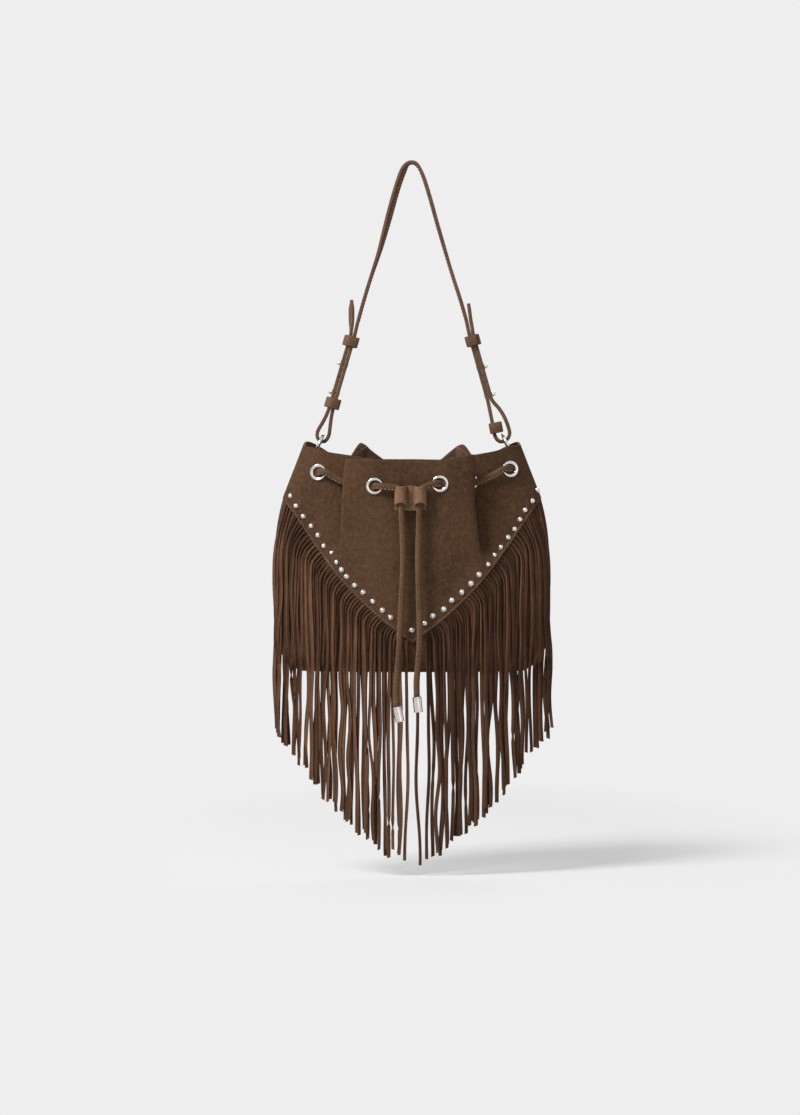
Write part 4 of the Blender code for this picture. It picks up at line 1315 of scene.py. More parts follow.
@dataclass
class Fringe:
    """Two strips cut into strands, sewn under the V edge."""

    shell: Shell
    finishes: Finishes
    count: int = 50
    long: float = 197.0 * MM
    thick: float = 1.25 * MM
    first: float = 3.2 * MM
    last: float = 109.4 * MM
    steps: int = 38
    slant: float = math.radians(47)
    # the usual width of a strand; nothing in this script reads it
    wide: float = 2.93 * MM
    # numbers, counted from the middle, of the places where no strand hangs
    bare: tuple = ((Half.LEFT, (1,)), (Half.RIGHT, (1, 2)))

    def strand(self, half: Half, k: int, dice: random.Random) -> tuple[list[Vector], list[Vector], float]:
        """The middle line of one strand, the way across it, and its width.

        Args:
            half: which arm it hangs from.
            k: its number from the middle.
            dice: seeded random numbers.

        Returns:
            The points, the directions across and the width.
        """
        shell = self.shell
        share = (k + 0.5 + dice.uniform(-0.12, 0.12)) / self.count
        x = self.first + (self.last - self.first) * share
        z = read_smooth(shell.v_edge, x / MM) * MM + 1.2 * MM
        outer = ease((share - 0.78) / 0.20)
        bend = (11.0 + 12.0 * share) * (1 + 1.6 * outer) * MM * dice.uniform(0.9, 1.1)
        slant = self.slant * (0.15 + 0.85 * ease(share / 0.22)) * (1 - 0.64 * outer)
        wide = dice.uniform(2.4, 3.45) * MM
        long = self.long * dice.uniform(0.975, 1.015) + (-4.0 * MM if share < 0.1 else 0.0)
        layer = (0.5 + 1.5 * ((k * 7) % 3)) * MM
        phase, wave = dice.uniform(0, 6.28), dice.uniform(70, 125) * MM
        sway = dice.uniform(0.3, 1.5) * MM
        lean = (dice.uniform(-1.9, 1.9) + 2.4 * share**4) * MM
        twist_from = math.radians(dice.uniform(34, 58))
        twist_by = dice.uniform(0.35, 1.0)
        flip = dice.uniform(110, 170) * MM if dice.random() < 0.22 else None
        points, across = [], []
        far = 0.0
        step = long / self.steps
        px, pz = x, z
        for i in range(self.steps + 1):
            hang = ease(far / (120 * MM))
            angle = slant * (1 - ease(far / bend))
            shift = sway * hang * math.sin(2 * math.pi * far / wave + phase)
            bunch = 4.2 * MM * ease(far / (85 * MM)) * waver(k * 0.36 * half.value, far * 6.0, 2.2)
            bunch += lean * ease((far - 0.06) / 0.1)
            free = ease((far - 0.05) / 0.10)
            body_z = max(pz, shell.bottom + 4 * MM)
            surface = shell.front_y(px, body_z)
            rest = surface - (0.25 * MM + self.thick / 2) - (layer + 0.6 * MM) * ease((far - 2 * MM) / (18 * MM))
            swing = 1.8 * MM * free * waver(k * 0.9, far * 14.0, 5.0 * half.value)
            points.append(Vector((half.value * (px + shift + bunch), rest + swing, pz)))
            turn = twist_from * (0.35 + 0.65 * ease(far / (5 * MM))) * (1 - 0.3 * ease((far - 0.02) / (50 * MM)))
            turn *= 1.0 if i < 6 else 0.6 + 0.4 * math.cos(far / (60 * MM))
            turn += math.radians(52) * twist_by * waver(k * 1.7, far * 13.0, 9.0 * half.value) * ease(far / (35 * MM))
            if flip:
                turn += math.pi * ease((far - flip) / (22 * MM))
            way = Vector((half.value * math.sin(angle), 0.0, -math.cos(angle)))
            level = Vector((half.value * math.cos(angle), 0.0, math.sin(angle)))
            out = way.cross(level)
            across.append(level * math.cos(turn) - out * math.sin(turn) * half.value)
            px += math.sin(angle) * step
            pz -= math.cos(angle) * step
            far += step
        return points, across, wide

    def arm(self, half: Half) -> bpy.types.Object:
        """All strands of one arm as one piece.

        Args:
            half: which arm.

        Returns:
            The new object.
        """
        dice = random.Random(40 + half.value)
        verts: list[Vector] = []
        faces: list[tuple[int, ...]] = []
        cut: list[int] = []
        painted_shades: list[float] = []
        for k in range(self.count):
            points, across, wide = self.strand(half, k, dice)
            if k in dict(self.bare)[half]:
                continue
            start = len(verts)
            rings = len(points)
            # painted shade: the right arm's strands get a darker range than the left's, for light from the left; within
            # each range the tone is random
            own = dice.uniform(0.30, 0.90) if half is Half.LEFT else dice.uniform(0.12, 0.70)
            for i, (p, side) in enumerate(zip(points, across)):
                # painted shade: darker at the root under the yoke, with a random waver along the strand, and along one
                # edge of each strand
                deep = 0.55 * (1 - ease((i - 1) / 6)) + 0.22 * waver(k * 2.7, i * 0.23, half.value)
                for edge in (0.0, -0.42, -0.42, 0.0) if half is Half.LEFT else (0.0, -0.5, -0.5, 0.0):
                    painted_shades.append(min(1.0, max(0.0, own - deep * 0.5 + edge)))
                way = (points[min(i + 1, rings - 1)] - points[max(i - 1, 0)]).normalized()
                side = (side - way * side.dot(way)).normalized()
                out = way.cross(side)
                w = wide / 2 * (0.82 + 0.18 * ease(i / 8)) * (1.0 + 0.10 * waver(k * 3.3, i * 0.31))
                slope = way * (0.6 * MM * math.sin(k * 2.1)) if i == rings - 1 else Vector()
                for a, b in ((-1, -1), (1, -1), (1, 1), (-1, 1)):
                    verts.append(p + side * (w * a) + out * (self.thick / 2 * b) + slope * a)
            for i in range(rings - 1):
                for j in range(4):
                    a, b = start + i * 4 + j, start + i * 4 + (j + 1) % 4
                    if j % 2:
                        cut.append(len(faces))
                    faces.append((a, b, b + 4, a + 4))
            cut += [len(faces), len(faces) + 1]
            end = start + (rings - 1) * 4
            faces += [(start, start + 3, start + 2, start + 1), (end, end + 1, end + 2, end + 3)]
        mesh = bpy.data.meshes.new(f"fringe_{half.name.lower()}_strands")
        mesh.from_pydata([tuple(v) for v in verts], [], faces)
        for k in cut:
            mesh.polygons[k].material_index = 1
        # the "shade" attribute carries this painted shade to the fringe material
        mesh.attributes.new("shade", "FLOAT", "POINT").data.foreach_set("value", painted_shades)
        kit = bmesh.new()
        kit.from_mesh(mesh)
        bmesh.ops.recalc_face_normals(kit, faces=kit.faces)
        kit.to_mesh(mesh)
        kit.free()
        made = bpy.data.objects.new(mesh.name, mesh)
        bpy.context.scene.collection.objects.link(made)
        self.finishes.dress(made, "fringe", "cut")
        soften(made, 40.0)
        return made

    def build(self) -> None:
        """Makes and dresses both arms."""
        for half in Half:
            made = self.arm(half)
            node = f"fringe_{half.name.lower()}"
            takes_place(made, node)


@dataclass
class Studs:
    """Dome studs along the V edge, and the stitching under them."""

    shell: Shell
    finishes: Finishes
    radius: float = 2.4 * MM
    tall: float = 1.7 * MM
    # across and height in mm
    places: Table = (
        (-104.5, -289.1), (-99.4, -297.8), (-93.4, -306.8), (-86.7, -315.1), (-80.8, -323.4), (-75.9, -332.9),
        (-68.6, -338.7), (-64.1, -346.5), (-60.2, -352.7), (-55.8, -358.6), (-48.7, -366.2), (-41.4, -372.1),
        (-33.5, -379.9), (-25.3, -387.3), (-18.1, -393.4), (-9.6, -399.3), (-0.3, -404.6), (10.4, -398.7),
        (17.2, -392.1), (26.4, -386.5), (33.5, -378.8), (42.5, -371.9), (50.0, -364.5), (56.5, -356.8),
        (64.6, -348.6), (70.2, -340.8), (75.9, -333.5), (81.9, -325.1), (87.8, -317.6), (92.6, -309.4),
        (97.0, -301.3), (103.0, -293.4), (107.6, -284.2),
    )

    def dome(self) -> bpy.types.Object:
        """One stud: a ball cut in half and flattened, on a thin rolled skirt.

        Returns:
            The new object, at the origin.
        """
        only(bpy.context.scene.camera)
        bpy.ops.mesh.primitive_uv_sphere_add(segments=16, ring_count=10, radius=self.radius * 0.93, location=(0, 0, 0))
        made = bpy.context.object
        bpy.ops.object.mode_set(mode="EDIT")
        bpy.ops.mesh.select_all(action="SELECT")
        bpy.ops.mesh.bisect(plane_co=(0, 0, 0), plane_no=(0, 0, 1), clear_inner=True, use_fill=False)
        bpy.ops.mesh.select_all(action="SELECT")
        bpy.ops.transform.resize(value=(1, 1, self.tall / (self.radius * 0.93)), center_override=(0, 0, 0))
        bpy.ops.mesh.select_all(action="DESELECT")
        bpy.ops.object.mode_set(mode="OBJECT")
        for edge in made.data.edges:
            edge.select = all(abs(made.data.vertices[i].co.z) < 1e-6 for i in edge.vertices)
        bpy.ops.object.mode_set(mode="EDIT")
        bpy.ops.mesh.extrude_region_move()
        grow = self.radius / (self.radius * 0.93)
        bpy.ops.transform.resize(value=(grow, grow, 1), center_override=(0, 0, 0))
        bpy.ops.mesh.extrude_region_move(TRANSFORM_OT_translate={"value": (0, 0, -0.5 * MM)})
        bpy.ops.mesh.edge_face_add()
        bpy.ops.mesh.select_all(action="SELECT")
        bpy.ops.mesh.normals_make_consistent(inside=False)
        bpy.ops.object.mode_set(mode="OBJECT")
        soften(made, 35.0)
        return made

    def build(self) -> None:
        """Sets the studs and sews the edge."""
        first = self.dome()
        dice = random.Random(7)
        pieces = []
        for k, (x, z) in enumerate(self.places):
            place, out = self.shell.place_on_front(x * MM, z * MM, self.shell.proud * 0.75 + 0.25 * MM)
            stud = copied(first, f"stud_{k}")
            lean = Vector((dice.uniform(-0.16, 0.16), 0.0, dice.uniform(-0.16, 0.16)))
            move_mesh(stud, stand(place, (out + lean).normalized(), k * 0.7))
            pieces.append(stud)
        bpy.data.objects.remove(first, do_unlink=True)
        row = joined("yoke_studs", pieces)
        self.finishes.dress(row, "silver")
        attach(row, "bag")
        log.info("%s: %d studs", row.name, len(self.places))
        self.sew()

    def sew(self) -> None:
        """Short stitches just above the V edge."""
        line: list[Vector] = []
        normals: list[Vector] = []
        for half in (Half.LEFT, Half.RIGHT):
            run = []
            for k in range(60):
                x = 1.0 + (110.5 - 1.0) * k / 59
                z = read_smooth(self.shell.v_edge, x) + 2.1
                run.append(self.shell.place_on_front(half.value * x * MM, z * MM, self.shell.proud + 0.05 * MM))
            if half is Half.LEFT:
                run.reverse()
            line += [p for p, _ in run]
            normals += [n for _, n in run]
        made = stitches("yoke_stitching", line, normals, 2.6 * MM, 1.7 * MM, 0.36 * MM)
        self.finishes.dress(made, "thread")
        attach(made, "bag")
        log.info("%s", made.name)


def stitches(
    name: str, line: Sequence[Vector], normals: Sequence[Vector], pitch: float, long: float, thick: float
) -> bpy.types.Object:
    """A row of thread stitches along a line.

    Args:
        name: the piece's name.
        line: where they lie.
        normals: the way out at each point.
        pitch: from one stitch to the next.
        long: the length of one.
        thick: the thread's thickness.

    Returns:
        One object with all the stitches.
    """
    track = Track(line)
    verts: list[Vector] = []
    faces: list[tuple[int, ...]] = []
    count = int(track.length / pitch)
    for k in range(count):
        far = (k + 0.5) * pitch
        i = min(max(bisect_right(track.far, far) - 1, 0), len(normals) - 1)
        out = normals[i]
        way = (track.at(far + pitch * 0.3) - track.at(far - pitch * 0.3)).normalized()
        side = way.cross(out).normalized()
        start = len(verts)
        rings = ((-0.5, 0.35, -0.35), (-0.3, 1.0, 0.15), (0.0, 1.1, 0.3), (0.3, 1.0, 0.15), (0.5, 0.35, -0.35))
        for share, size, rise in rings:
            middle = track.at(far + share * long) + out * thick * rise
            for a in range(6):
                turn = 2 * math.pi * a / 6
                verts.append(middle + (side * math.cos(turn) + out * math.sin(turn)) * thick * 0.5 * size)
        for r in range(4):
            for a in range(6):
                b = (a + 1) % 6
                faces.append((start + r * 6 + a, start + r * 6 + b, start + (r + 1) * 6 + b, start + (r + 1) * 6 + a))
        faces += [tuple(range(start, start + 6)), tuple(range(start + 24, start + 30))]
    return mesh_piece(name, verts, faces)


# ---------------------------------------------------------------- strap


@dataclass
class Strap:
    """The strap with its studs and keepers."""

    finishes: Finishes
    wide: float = 8.6 * MM
    thick: float = 3.0 * MM
    gap: float = 0.3 * MM
    left_pair: tuple = ((-53.1, -154.4), (-0.283, -0.959), 60.4)
    right_pair: tuple = ((53.0, -153.6), (0.271, -0.9625), 52.6)
    pair_points: tuple[float, ...] = (-4.6, 5.0, 15.0, 25.0, 35.0, 42.0)
    left_tip: Table = ((-52.5, -118.3), (-52.6, -128.0), (-52.6, -137.0), (-52.7, -144.0))
    left_loop: Table = (
        (-74.9, -219.6), (-78.0, -225.4), (-82.1, -232.8), (-82.1, -238.4), (-79.0, -241.3), (-75.2, -240.9),
        (-72.3, -236.0), (-71.2, -228.5), (-70.1, -220.0),
    )
    arch: Table = (
        (-47.0, -137.0), (-42.0, -119.0), (-36.5, -100.9), (-28.2, -75.7), (-21.0, -49.5), (-14.6, -26.1),
        (-9.0, -9.0), (-4.6, -0.6), (0.0, 1.5), (4.6, -0.6), (9.2, -9.0), (14.8, -26.1),
        (22.6, -54.0), (31.3, -83.5), (36.8, -101.5), (42.3, -118.5), (47.0, -135.0),
    )
    right_loop: Table = (
        (67.2, -211.6), (68.8, -219.5), (70.5, -228.5), (71.5, -233.5), (72.6, -237.6), (75.2, -240.8),
        (78.6, -241.6), (81.4, -240.4), (84.0, -238.0), (85.0, -233.8), (83.4, -227.4), (79.8, -219.0),
        (75.4, -212.2), (71.2, -207.6),
    )
    right_tip: Table = ((52.4, -142.6), (51.2, -136.0), (50.3, -129.0), (49.2, -121.4))
    stud_places: tuple = (
        ("left", "upper", 20.7), ("left", "lower", 46.8), ("right", "upper", 24.4), ("right", "lower", 49.4)
    )
    keeper_wall: float = 1.4 * MM
    keeper_tall: float = 9.0 * MM
    keeper_slack: float = 1.15 * MM

    def pair(self, side: str) -> tuple[Vector, Vector, Vector]:
        """The start, the way down and the way out of a doubled stretch.

        Args:
            side: left or right.

        Returns:
            The three vectors.
        """
        (x, z), (wx, wz), _ = self.left_pair if side == "left" else self.right_pair
        way = Vector((wx, 0.0, wz)).normalized()
        return Vector((x * MM, 0.0, z * MM)), way, Vector((-way.z, 0.0, way.x)) * (-1 if side == "left" else 1)

    def route(self) -> list[Vector]:
        """The middle of the band from its left tip to its right tip.

        Returns:
            The points that it passes.
        """

        def listed(rows: Table) -> list[Vector]:
            """A table in mm as points."""
            return [Vector((x * MM, 0.0, z * MM)) for x, z in rows]

        def layer(side: str, hand: int) -> list[Vector]:
            """One layer of a doubled stretch, downwards.

            Args:
                side: left or right.
                hand: -1 or 1, which of the two layers.

            Returns:
                Its points.
            """
            start, way, out = self.pair(side)
            shift = out * hand * (self.thick + self.gap) / 2
            long = (self.left_pair if side == "left" else self.right_pair)[2]
            return [start + way * far * MM + shift for far in (*self.pair_points, long - 5.0, long)]

        return (
            listed(self.left_tip) + layer("left", 1) + listed(self.left_loop) + layer("left", -1)[::-1]
            + listed(self.arch) + layer("right", -1) + listed(self.right_loop) + layer("right", 1)[::-1]
            + listed(self.right_tip)
        )

    def band(self) -> bpy.types.Object:
        """The two sewn layers of suede, which turn a little near the top on the left.

        Returns:
            The new object.
        """
        points = Track(through(self.route())).spaced(2.6 * MM)
        track = Track(points)
        top = min(range(len(points)), key=lambda k: (points[k] - Vector((0.0, 0.0, 0.0015))).length)
        reach = track.far[top]

        def section(k: int, share: float) -> list[tuple[float, float]]:
            """Two layers with a groove between them, turned by the strap's twist.

            Args:
                k: the point's number.
                share: the share of the way.

            Returns:
                The outline's points.
            """
            far = track.far[k]
            tip = min(far, track.length - far)
            w = self.wide / 2 * (0.62 + 0.38 * ease(tip / (7 * MM))) * (1 + 0.02 * waver(far * 40, 3.0))
            t = self.thick / 2
            r = 0.55 * MM
            groove = 0.42 * MM
            outline = [
                (-t + r * 0.3, -w + r), (-t, -w + 2 * r), (-t, 0.0), (-t, w - 2 * r), (-t + r * 0.3, w - r * 0.5),
                (-t * 0.55, w), (-0.12 * MM, w - 0.06 * MM), (0.0, w - groove), (0.12 * MM, w - 0.06 * MM),
                (t * 0.55, w), (t - r * 0.3, w - r * 0.5), (t, w - 2 * r), (t, 0.0), (t, -w + 2 * r),
                (t - r * 0.3, -w + r * 0.5), (t * 0.55, -w), (0.12 * MM, -w + 0.06 * MM), (0.0, -w + groove),
                (-0.12 * MM, -w + 0.06 * MM), (-t * 0.55, -w),
            ]
            before, after = (reach - far) / MM, (far - reach) / MM
            turn = math.radians(27) * ease(before / 12.0) * (1 - ease((before - 45.0) / 70.0))
            turn += math.radians(-7) * ease(after / 20.0) * (1 - ease((after - 60.0) / 60.0))
            turn += math.radians(20) * ease(far / MM / 8.0) * (1 - ease((far / MM - 16.0) / 14.0))
            c, s = math.cos(turn), math.sin(turn)
            return [(a * c - b * s, a * s + b * c) for a, b in outline]

        return sweep("strap_band", points, Vector((0, 1, 0)), section, 50.0, start=top)

    def edge_thread(self) -> bpy.types.Object:
        """Stitching along both edges of the strap's outer face, up the arch.

        Returns:
            The new object.
        """
        points = Track(through([Vector((x * MM, 0.0, z * MM)) for x, z in self.arch])).spaced(3.0 * MM)
        rows = []
        normals = [-across for _, _, across in frames(points, Vector((0, 1, 0)), 0)]
        for side in (-1, 1):
            line = []
            for p, n in zip(points, normals):
                line.append(p + n * (self.thick / 2 + 0.05 * MM) + Vector((0, side * (self.wide / 2 - 1.5 * MM), 0)))
            rows.append(stitches(f"strap_thread_{side}", line, normals, 3.0 * MM, 2.0 * MM, 0.36 * MM))
        return joined("strap_stitching", rows)

    def ball_stud(self) -> bpy.types.Object:
        """A ball on a neck with a washer, and a screw head behind.

        Returns:
            The new object about Z, its zero in the middle of the pair.
        """
        face = self.thick + self.gap / 2
        reach = 3.7 * MM
        ball = 2.05 * MM
        profile: list[tuple[float, float]] = [(0.0, face + reach)]
        for k in range(1, 10):
            a = math.pi * k / 12
            profile.append((ball * math.sin(a), face + reach - ball + ball * math.cos(a)))
        profile += [
            (1.15 * MM, face + 0.95 * MM), (1.3 * MM, face + 0.7 * MM), (2.45 * MM, face + 0.65 * MM),
            (2.6 * MM, face + 0.4 * MM), (2.5 * MM, face + 0.2 * MM), (1.1 * MM, face + 0.2 * MM), (1.1 * MM, -face),
            (1.9 * MM, -face + 0.1 * MM), (2.0 * MM, -face - 0.25 * MM), (1.6 * MM, -face - 0.5 * MM),
            (0.0, -face - 0.6 * MM),
        ]
        return spun("ball_stud", profile, 24, 35.0)

    def keeper(self, name: str, middle: Vector, way: Vector, turn: float) -> bpy.types.Object:
        """A loop of suede with rounded corners and a sewn lap behind.

        Args:
            name: the piece's name.
            middle: its middle.
            way: down the strap.
            turn: how far it has turned round the strap, in radians.

        Returns:
            The new object.
        """
        wide = 2 * self.thick + self.gap + 2 * self.keeper_slack + self.keeper_wall
        deep = self.wide + 2 * self.keeper_slack + self.keeper_wall
        path = []
        for a, b in oval(wide, deep, 44, 7.0):
            path.append(Vector((a, b, 0.0)))
        tall = self.keeper_tall

        def section(k: int, _: float) -> list[tuple[float, float]]:
            """The suede's cut across: tall, thin, with soft edges and a little waver.

            Args:
                k: the point's number.

            Returns:
                The outline's points.
            """
            lap = 0.35 * MM if 30 < k < 36 else 0.0
            t = self.keeper_wall / 2
            h = tall / 2 * (1 + 0.02 * waver(k * 0.4, 1.0))
            return [
                (-t, -h * 0.9), (-t, 0.0), (-t, h * 0.9), (-t * 0.6, h), (t * 0.6 + lap, h), (t + lap, h * 0.9),
                (t + lap * 1.2, 0.0), (t + lap, -h * 0.9), (t * 0.6 + lap, -h), (-t * 0.6, -h),
            ]

        made = sweep(name, path, Vector((0, 0, 1)), section, 50.0, closed=True)
        axis = -way.normalized()
        across = Vector((axis.z, 0.0, -axis.x))
        basis = Matrix((across, Vector((0.0, 1.0, 0.0)), axis)).transposed().to_4x4()
        move_mesh(made, Matrix.Translation(middle) @ basis @ Matrix.Rotation(turn, 4, "Z"))
        return made

    def build(self) -> None:
        """Makes and dresses the strap, its studs and its keepers."""
        band = self.band()
        self.finishes.dress(band, "strap")
        takes_place(band, "strap", "strap")
        thread = self.edge_thread()
        self.finishes.dress(thread, "thread")
        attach(thread, "strap")
        log.info("%s and %s", band.name, thread.name)
        model = self.ball_stud()
        for side, place, far in self.stud_places:
            start, way, out = self.pair(side)
            stud = copied(model, f"ball_stud_{side}_{place}")
            soften(stud, 35.0)
            move_mesh(stud, stand(start + way * far * MM, out))
            self.finishes.dress(stud, "silver")
            takes_place(stud, f"strap_stud_{side}_{place}", "strap")
            log.info("%s", stud.name)
        bpy.data.objects.remove(model, do_unlink=True)
        for side, turn in (("left", math.radians(18)), ("right", math.radians(-15))):
            start, way, _ = self.pair(side)
            self.hang(f"keeper_{side}_upper", self.keeper(f"loop_{side}_upper", start, way, turn))
            if side == "left":
                self.hang("keeper_left_lower", self.keeper("loop_left_lower", start + way * 56.0 * MM, way, turn))
        low = Vector((73.0 * MM, 0.0, -229.4 * MM))
        self.hang("keeper_right_lower", self.keeper("loop_right_lower", low, Vector((0.189, 0.0, -0.982)), 0.0))

    def hang(self, node: str, piece: bpy.types.Object) -> None:
        """Dresses a keeper and puts it on its body.

        Args:
            node: its CAD node and body.
            piece: the keeper.
        """
        self.finishes.dress(piece, "strap")
        takes_place(piece, node, node)
        log.info("%s", piece.name)


# ---------------------------------------------------------------- metal and cord


@dataclass
class Hardware:
    """Rings, their tabs and the eyelets."""

    shell: Shell
    finishes: Finishes
    ring_radius: float = 9.5 * MM
    ring_wire: float = 2.4 * MM
    ring_tilt: float = math.radians(25)
    ring_height: float = -244.2 * MM
    ring_places: tuple = (("left", -1, 81.0), ("right", 1, 82.6))
    wide: float = 14.4 * MM
    hole: float = 8.6 * MM
    grommets: tuple = (
        ("front_left", Quarter.FRONT, Half.LEFT, 0.198, -281.1),
        ("front_right", Quarter.FRONT, Half.RIGHT, 0.146, -279.2),
        ("pleat_left", Quarter.FRONT, Half.LEFT, 0.652, -277.0),
        ("pleat_right", Quarter.FRONT, Half.RIGHT, 0.636, -277.0),
        ("side_left", Quarter.FRONT, Half.LEFT, 0.818, -268.7),
        ("side_right", Quarter.FRONT, Half.RIGHT, 0.846, -265.8),
        ("back_side_left", Quarter.BACK, Half.LEFT, 0.190, -270.0),
        ("back_side_right", Quarter.BACK, Half.RIGHT, 0.190, -270.0),
        ("back_left", Quarter.BACK, Half.LEFT, 0.82, -279.0),
        ("back_right", Quarter.BACK, Half.RIGHT, 0.82, -279.0),
    )

    def eyelet(self) -> bpy.types.Object:
        """A rolled eyelet with its washer behind.

        Returns:
            The new object about Z, its zero on the wall's outside.
        """
        outer, hole = self.wide / 2, self.hole / 2
        mid, half = (outer + hole) / 2, (outer - hole) / 2
        top = 0.25 * MM
        profile: list[tuple[float, float]] = [(hole, -0.5 * MM), (hole, 0.0)]
        for k in range(15):
            a = math.pi * k / 14
            lip = 0.42 * half * math.sin(a) ** 2
            profile.append((mid - half * math.cos(a) + lip, top + 1.35 * MM * math.sin(a) ** 0.9))
        under = -self.shell.wall - 0.5 * MM
        profile += [
            (outer - 0.2 * MM, 0.05 * MM), (hole + 0.7 * MM, 0.0), (hole + 0.7 * MM, under),
            (outer - 0.3 * MM, under), (outer, under - 0.35 * MM), (outer - 0.4 * MM, under - 0.75 * MM),
            (mid, under - 1.0 * MM), (hole + 0.2 * MM, under - 0.8 * MM), (hole, under - 0.3 * MM),
        ]
        return spun("eyelet", profile, 48, 40.0)

    def build(self) -> None:
        """Makes and dresses all of it."""
        model = self.eyelet()
        for name, quarter, half, share, height in self.grommets:
            _, out = self.shell.frame(quarter, half, share, height * MM)
            place = self.shell.skin(quarter, half, share, height * MM)
            made = copied(model, f"eyelet_{name}")
            soften(made, 40.0)
            move_mesh(made, stand(place, out))
            self.finishes.dress(made, "silver")
            takes_place(made, f"grommet_{name}")
            log.info("%s", made.name)
        bpy.data.objects.remove(model, do_unlink=True)
        for name, side, x in self.ring_places:
            self.ring(name, side, x)
            self.tab(name)

    def ring(self, name: str, side: int, x: float) -> None:
        """One wire ring with the small gap where its ends meet.

        Args:
            name: left or right.
            side: -1 or 1.
            x: how far out its middle is, in mm.
        """
        only(bpy.context.scene.camera)
        bpy.ops.mesh.primitive_torus_add(
            major_radius=self.ring_radius, minor_radius=self.ring_wire / 2, major_segments=72, minor_segments=18
        )
        made = bpy.context.object
        made.name = f"wire_ring_{name}"
        made.data.name = made.name
        for v in made.data.vertices:
            turn = math.atan2(v.co.y, v.co.x)
            pinch = math.exp(-(((turn - 1.9) / 0.028) ** 2))
            out = Vector((v.co.x, v.co.y, 0.0)).normalized() * self.ring_radius
            v.co = out + (v.co - out) * (1 - 0.16 * pinch)
        soften(made, 180.0)
        way = Vector((math.cos(self.ring_tilt), 0.0, side * math.sin(self.ring_tilt)))
        move_mesh(made, stand(Vector((side * x * MM, 0.0, self.ring_height)), way))
        self.finishes.dress(made, "silver")
        takes_place(made, f"ring_{name}", f"ring_{name}")
        log.info("%s", made.name)

    def tab(self, name: str) -> None:
        """The folded tab inside the mouth, with rounded edges.

        Args:
            name: left or right.
        """
        node = f"ring_tab_{name}"
        made = copied(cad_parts[node], f"folded_tab_{name}")
        only(made)
        bpy.ops.object.mode_set(mode="EDIT")
        bpy.ops.mesh.select_all(action="SELECT")
        bpy.ops.mesh.remove_doubles(threshold=1e-6)
        bpy.ops.mesh.tris_convert_to_quads()
        bpy.ops.object.mode_set(mode="OBJECT")
        edge = made.modifiers.new("edge", "BEVEL")
        edge.width = 0.35 * MM
        edge.segments = 2
        edge.limit_method = "ANGLE"
        edge.angle_limit = math.radians(50)
        settle(made)
        soften(made, 50.0)
        self.finishes.dress(made, "strap")
        takes_place(made, node)
        log.info("%s", made.name)


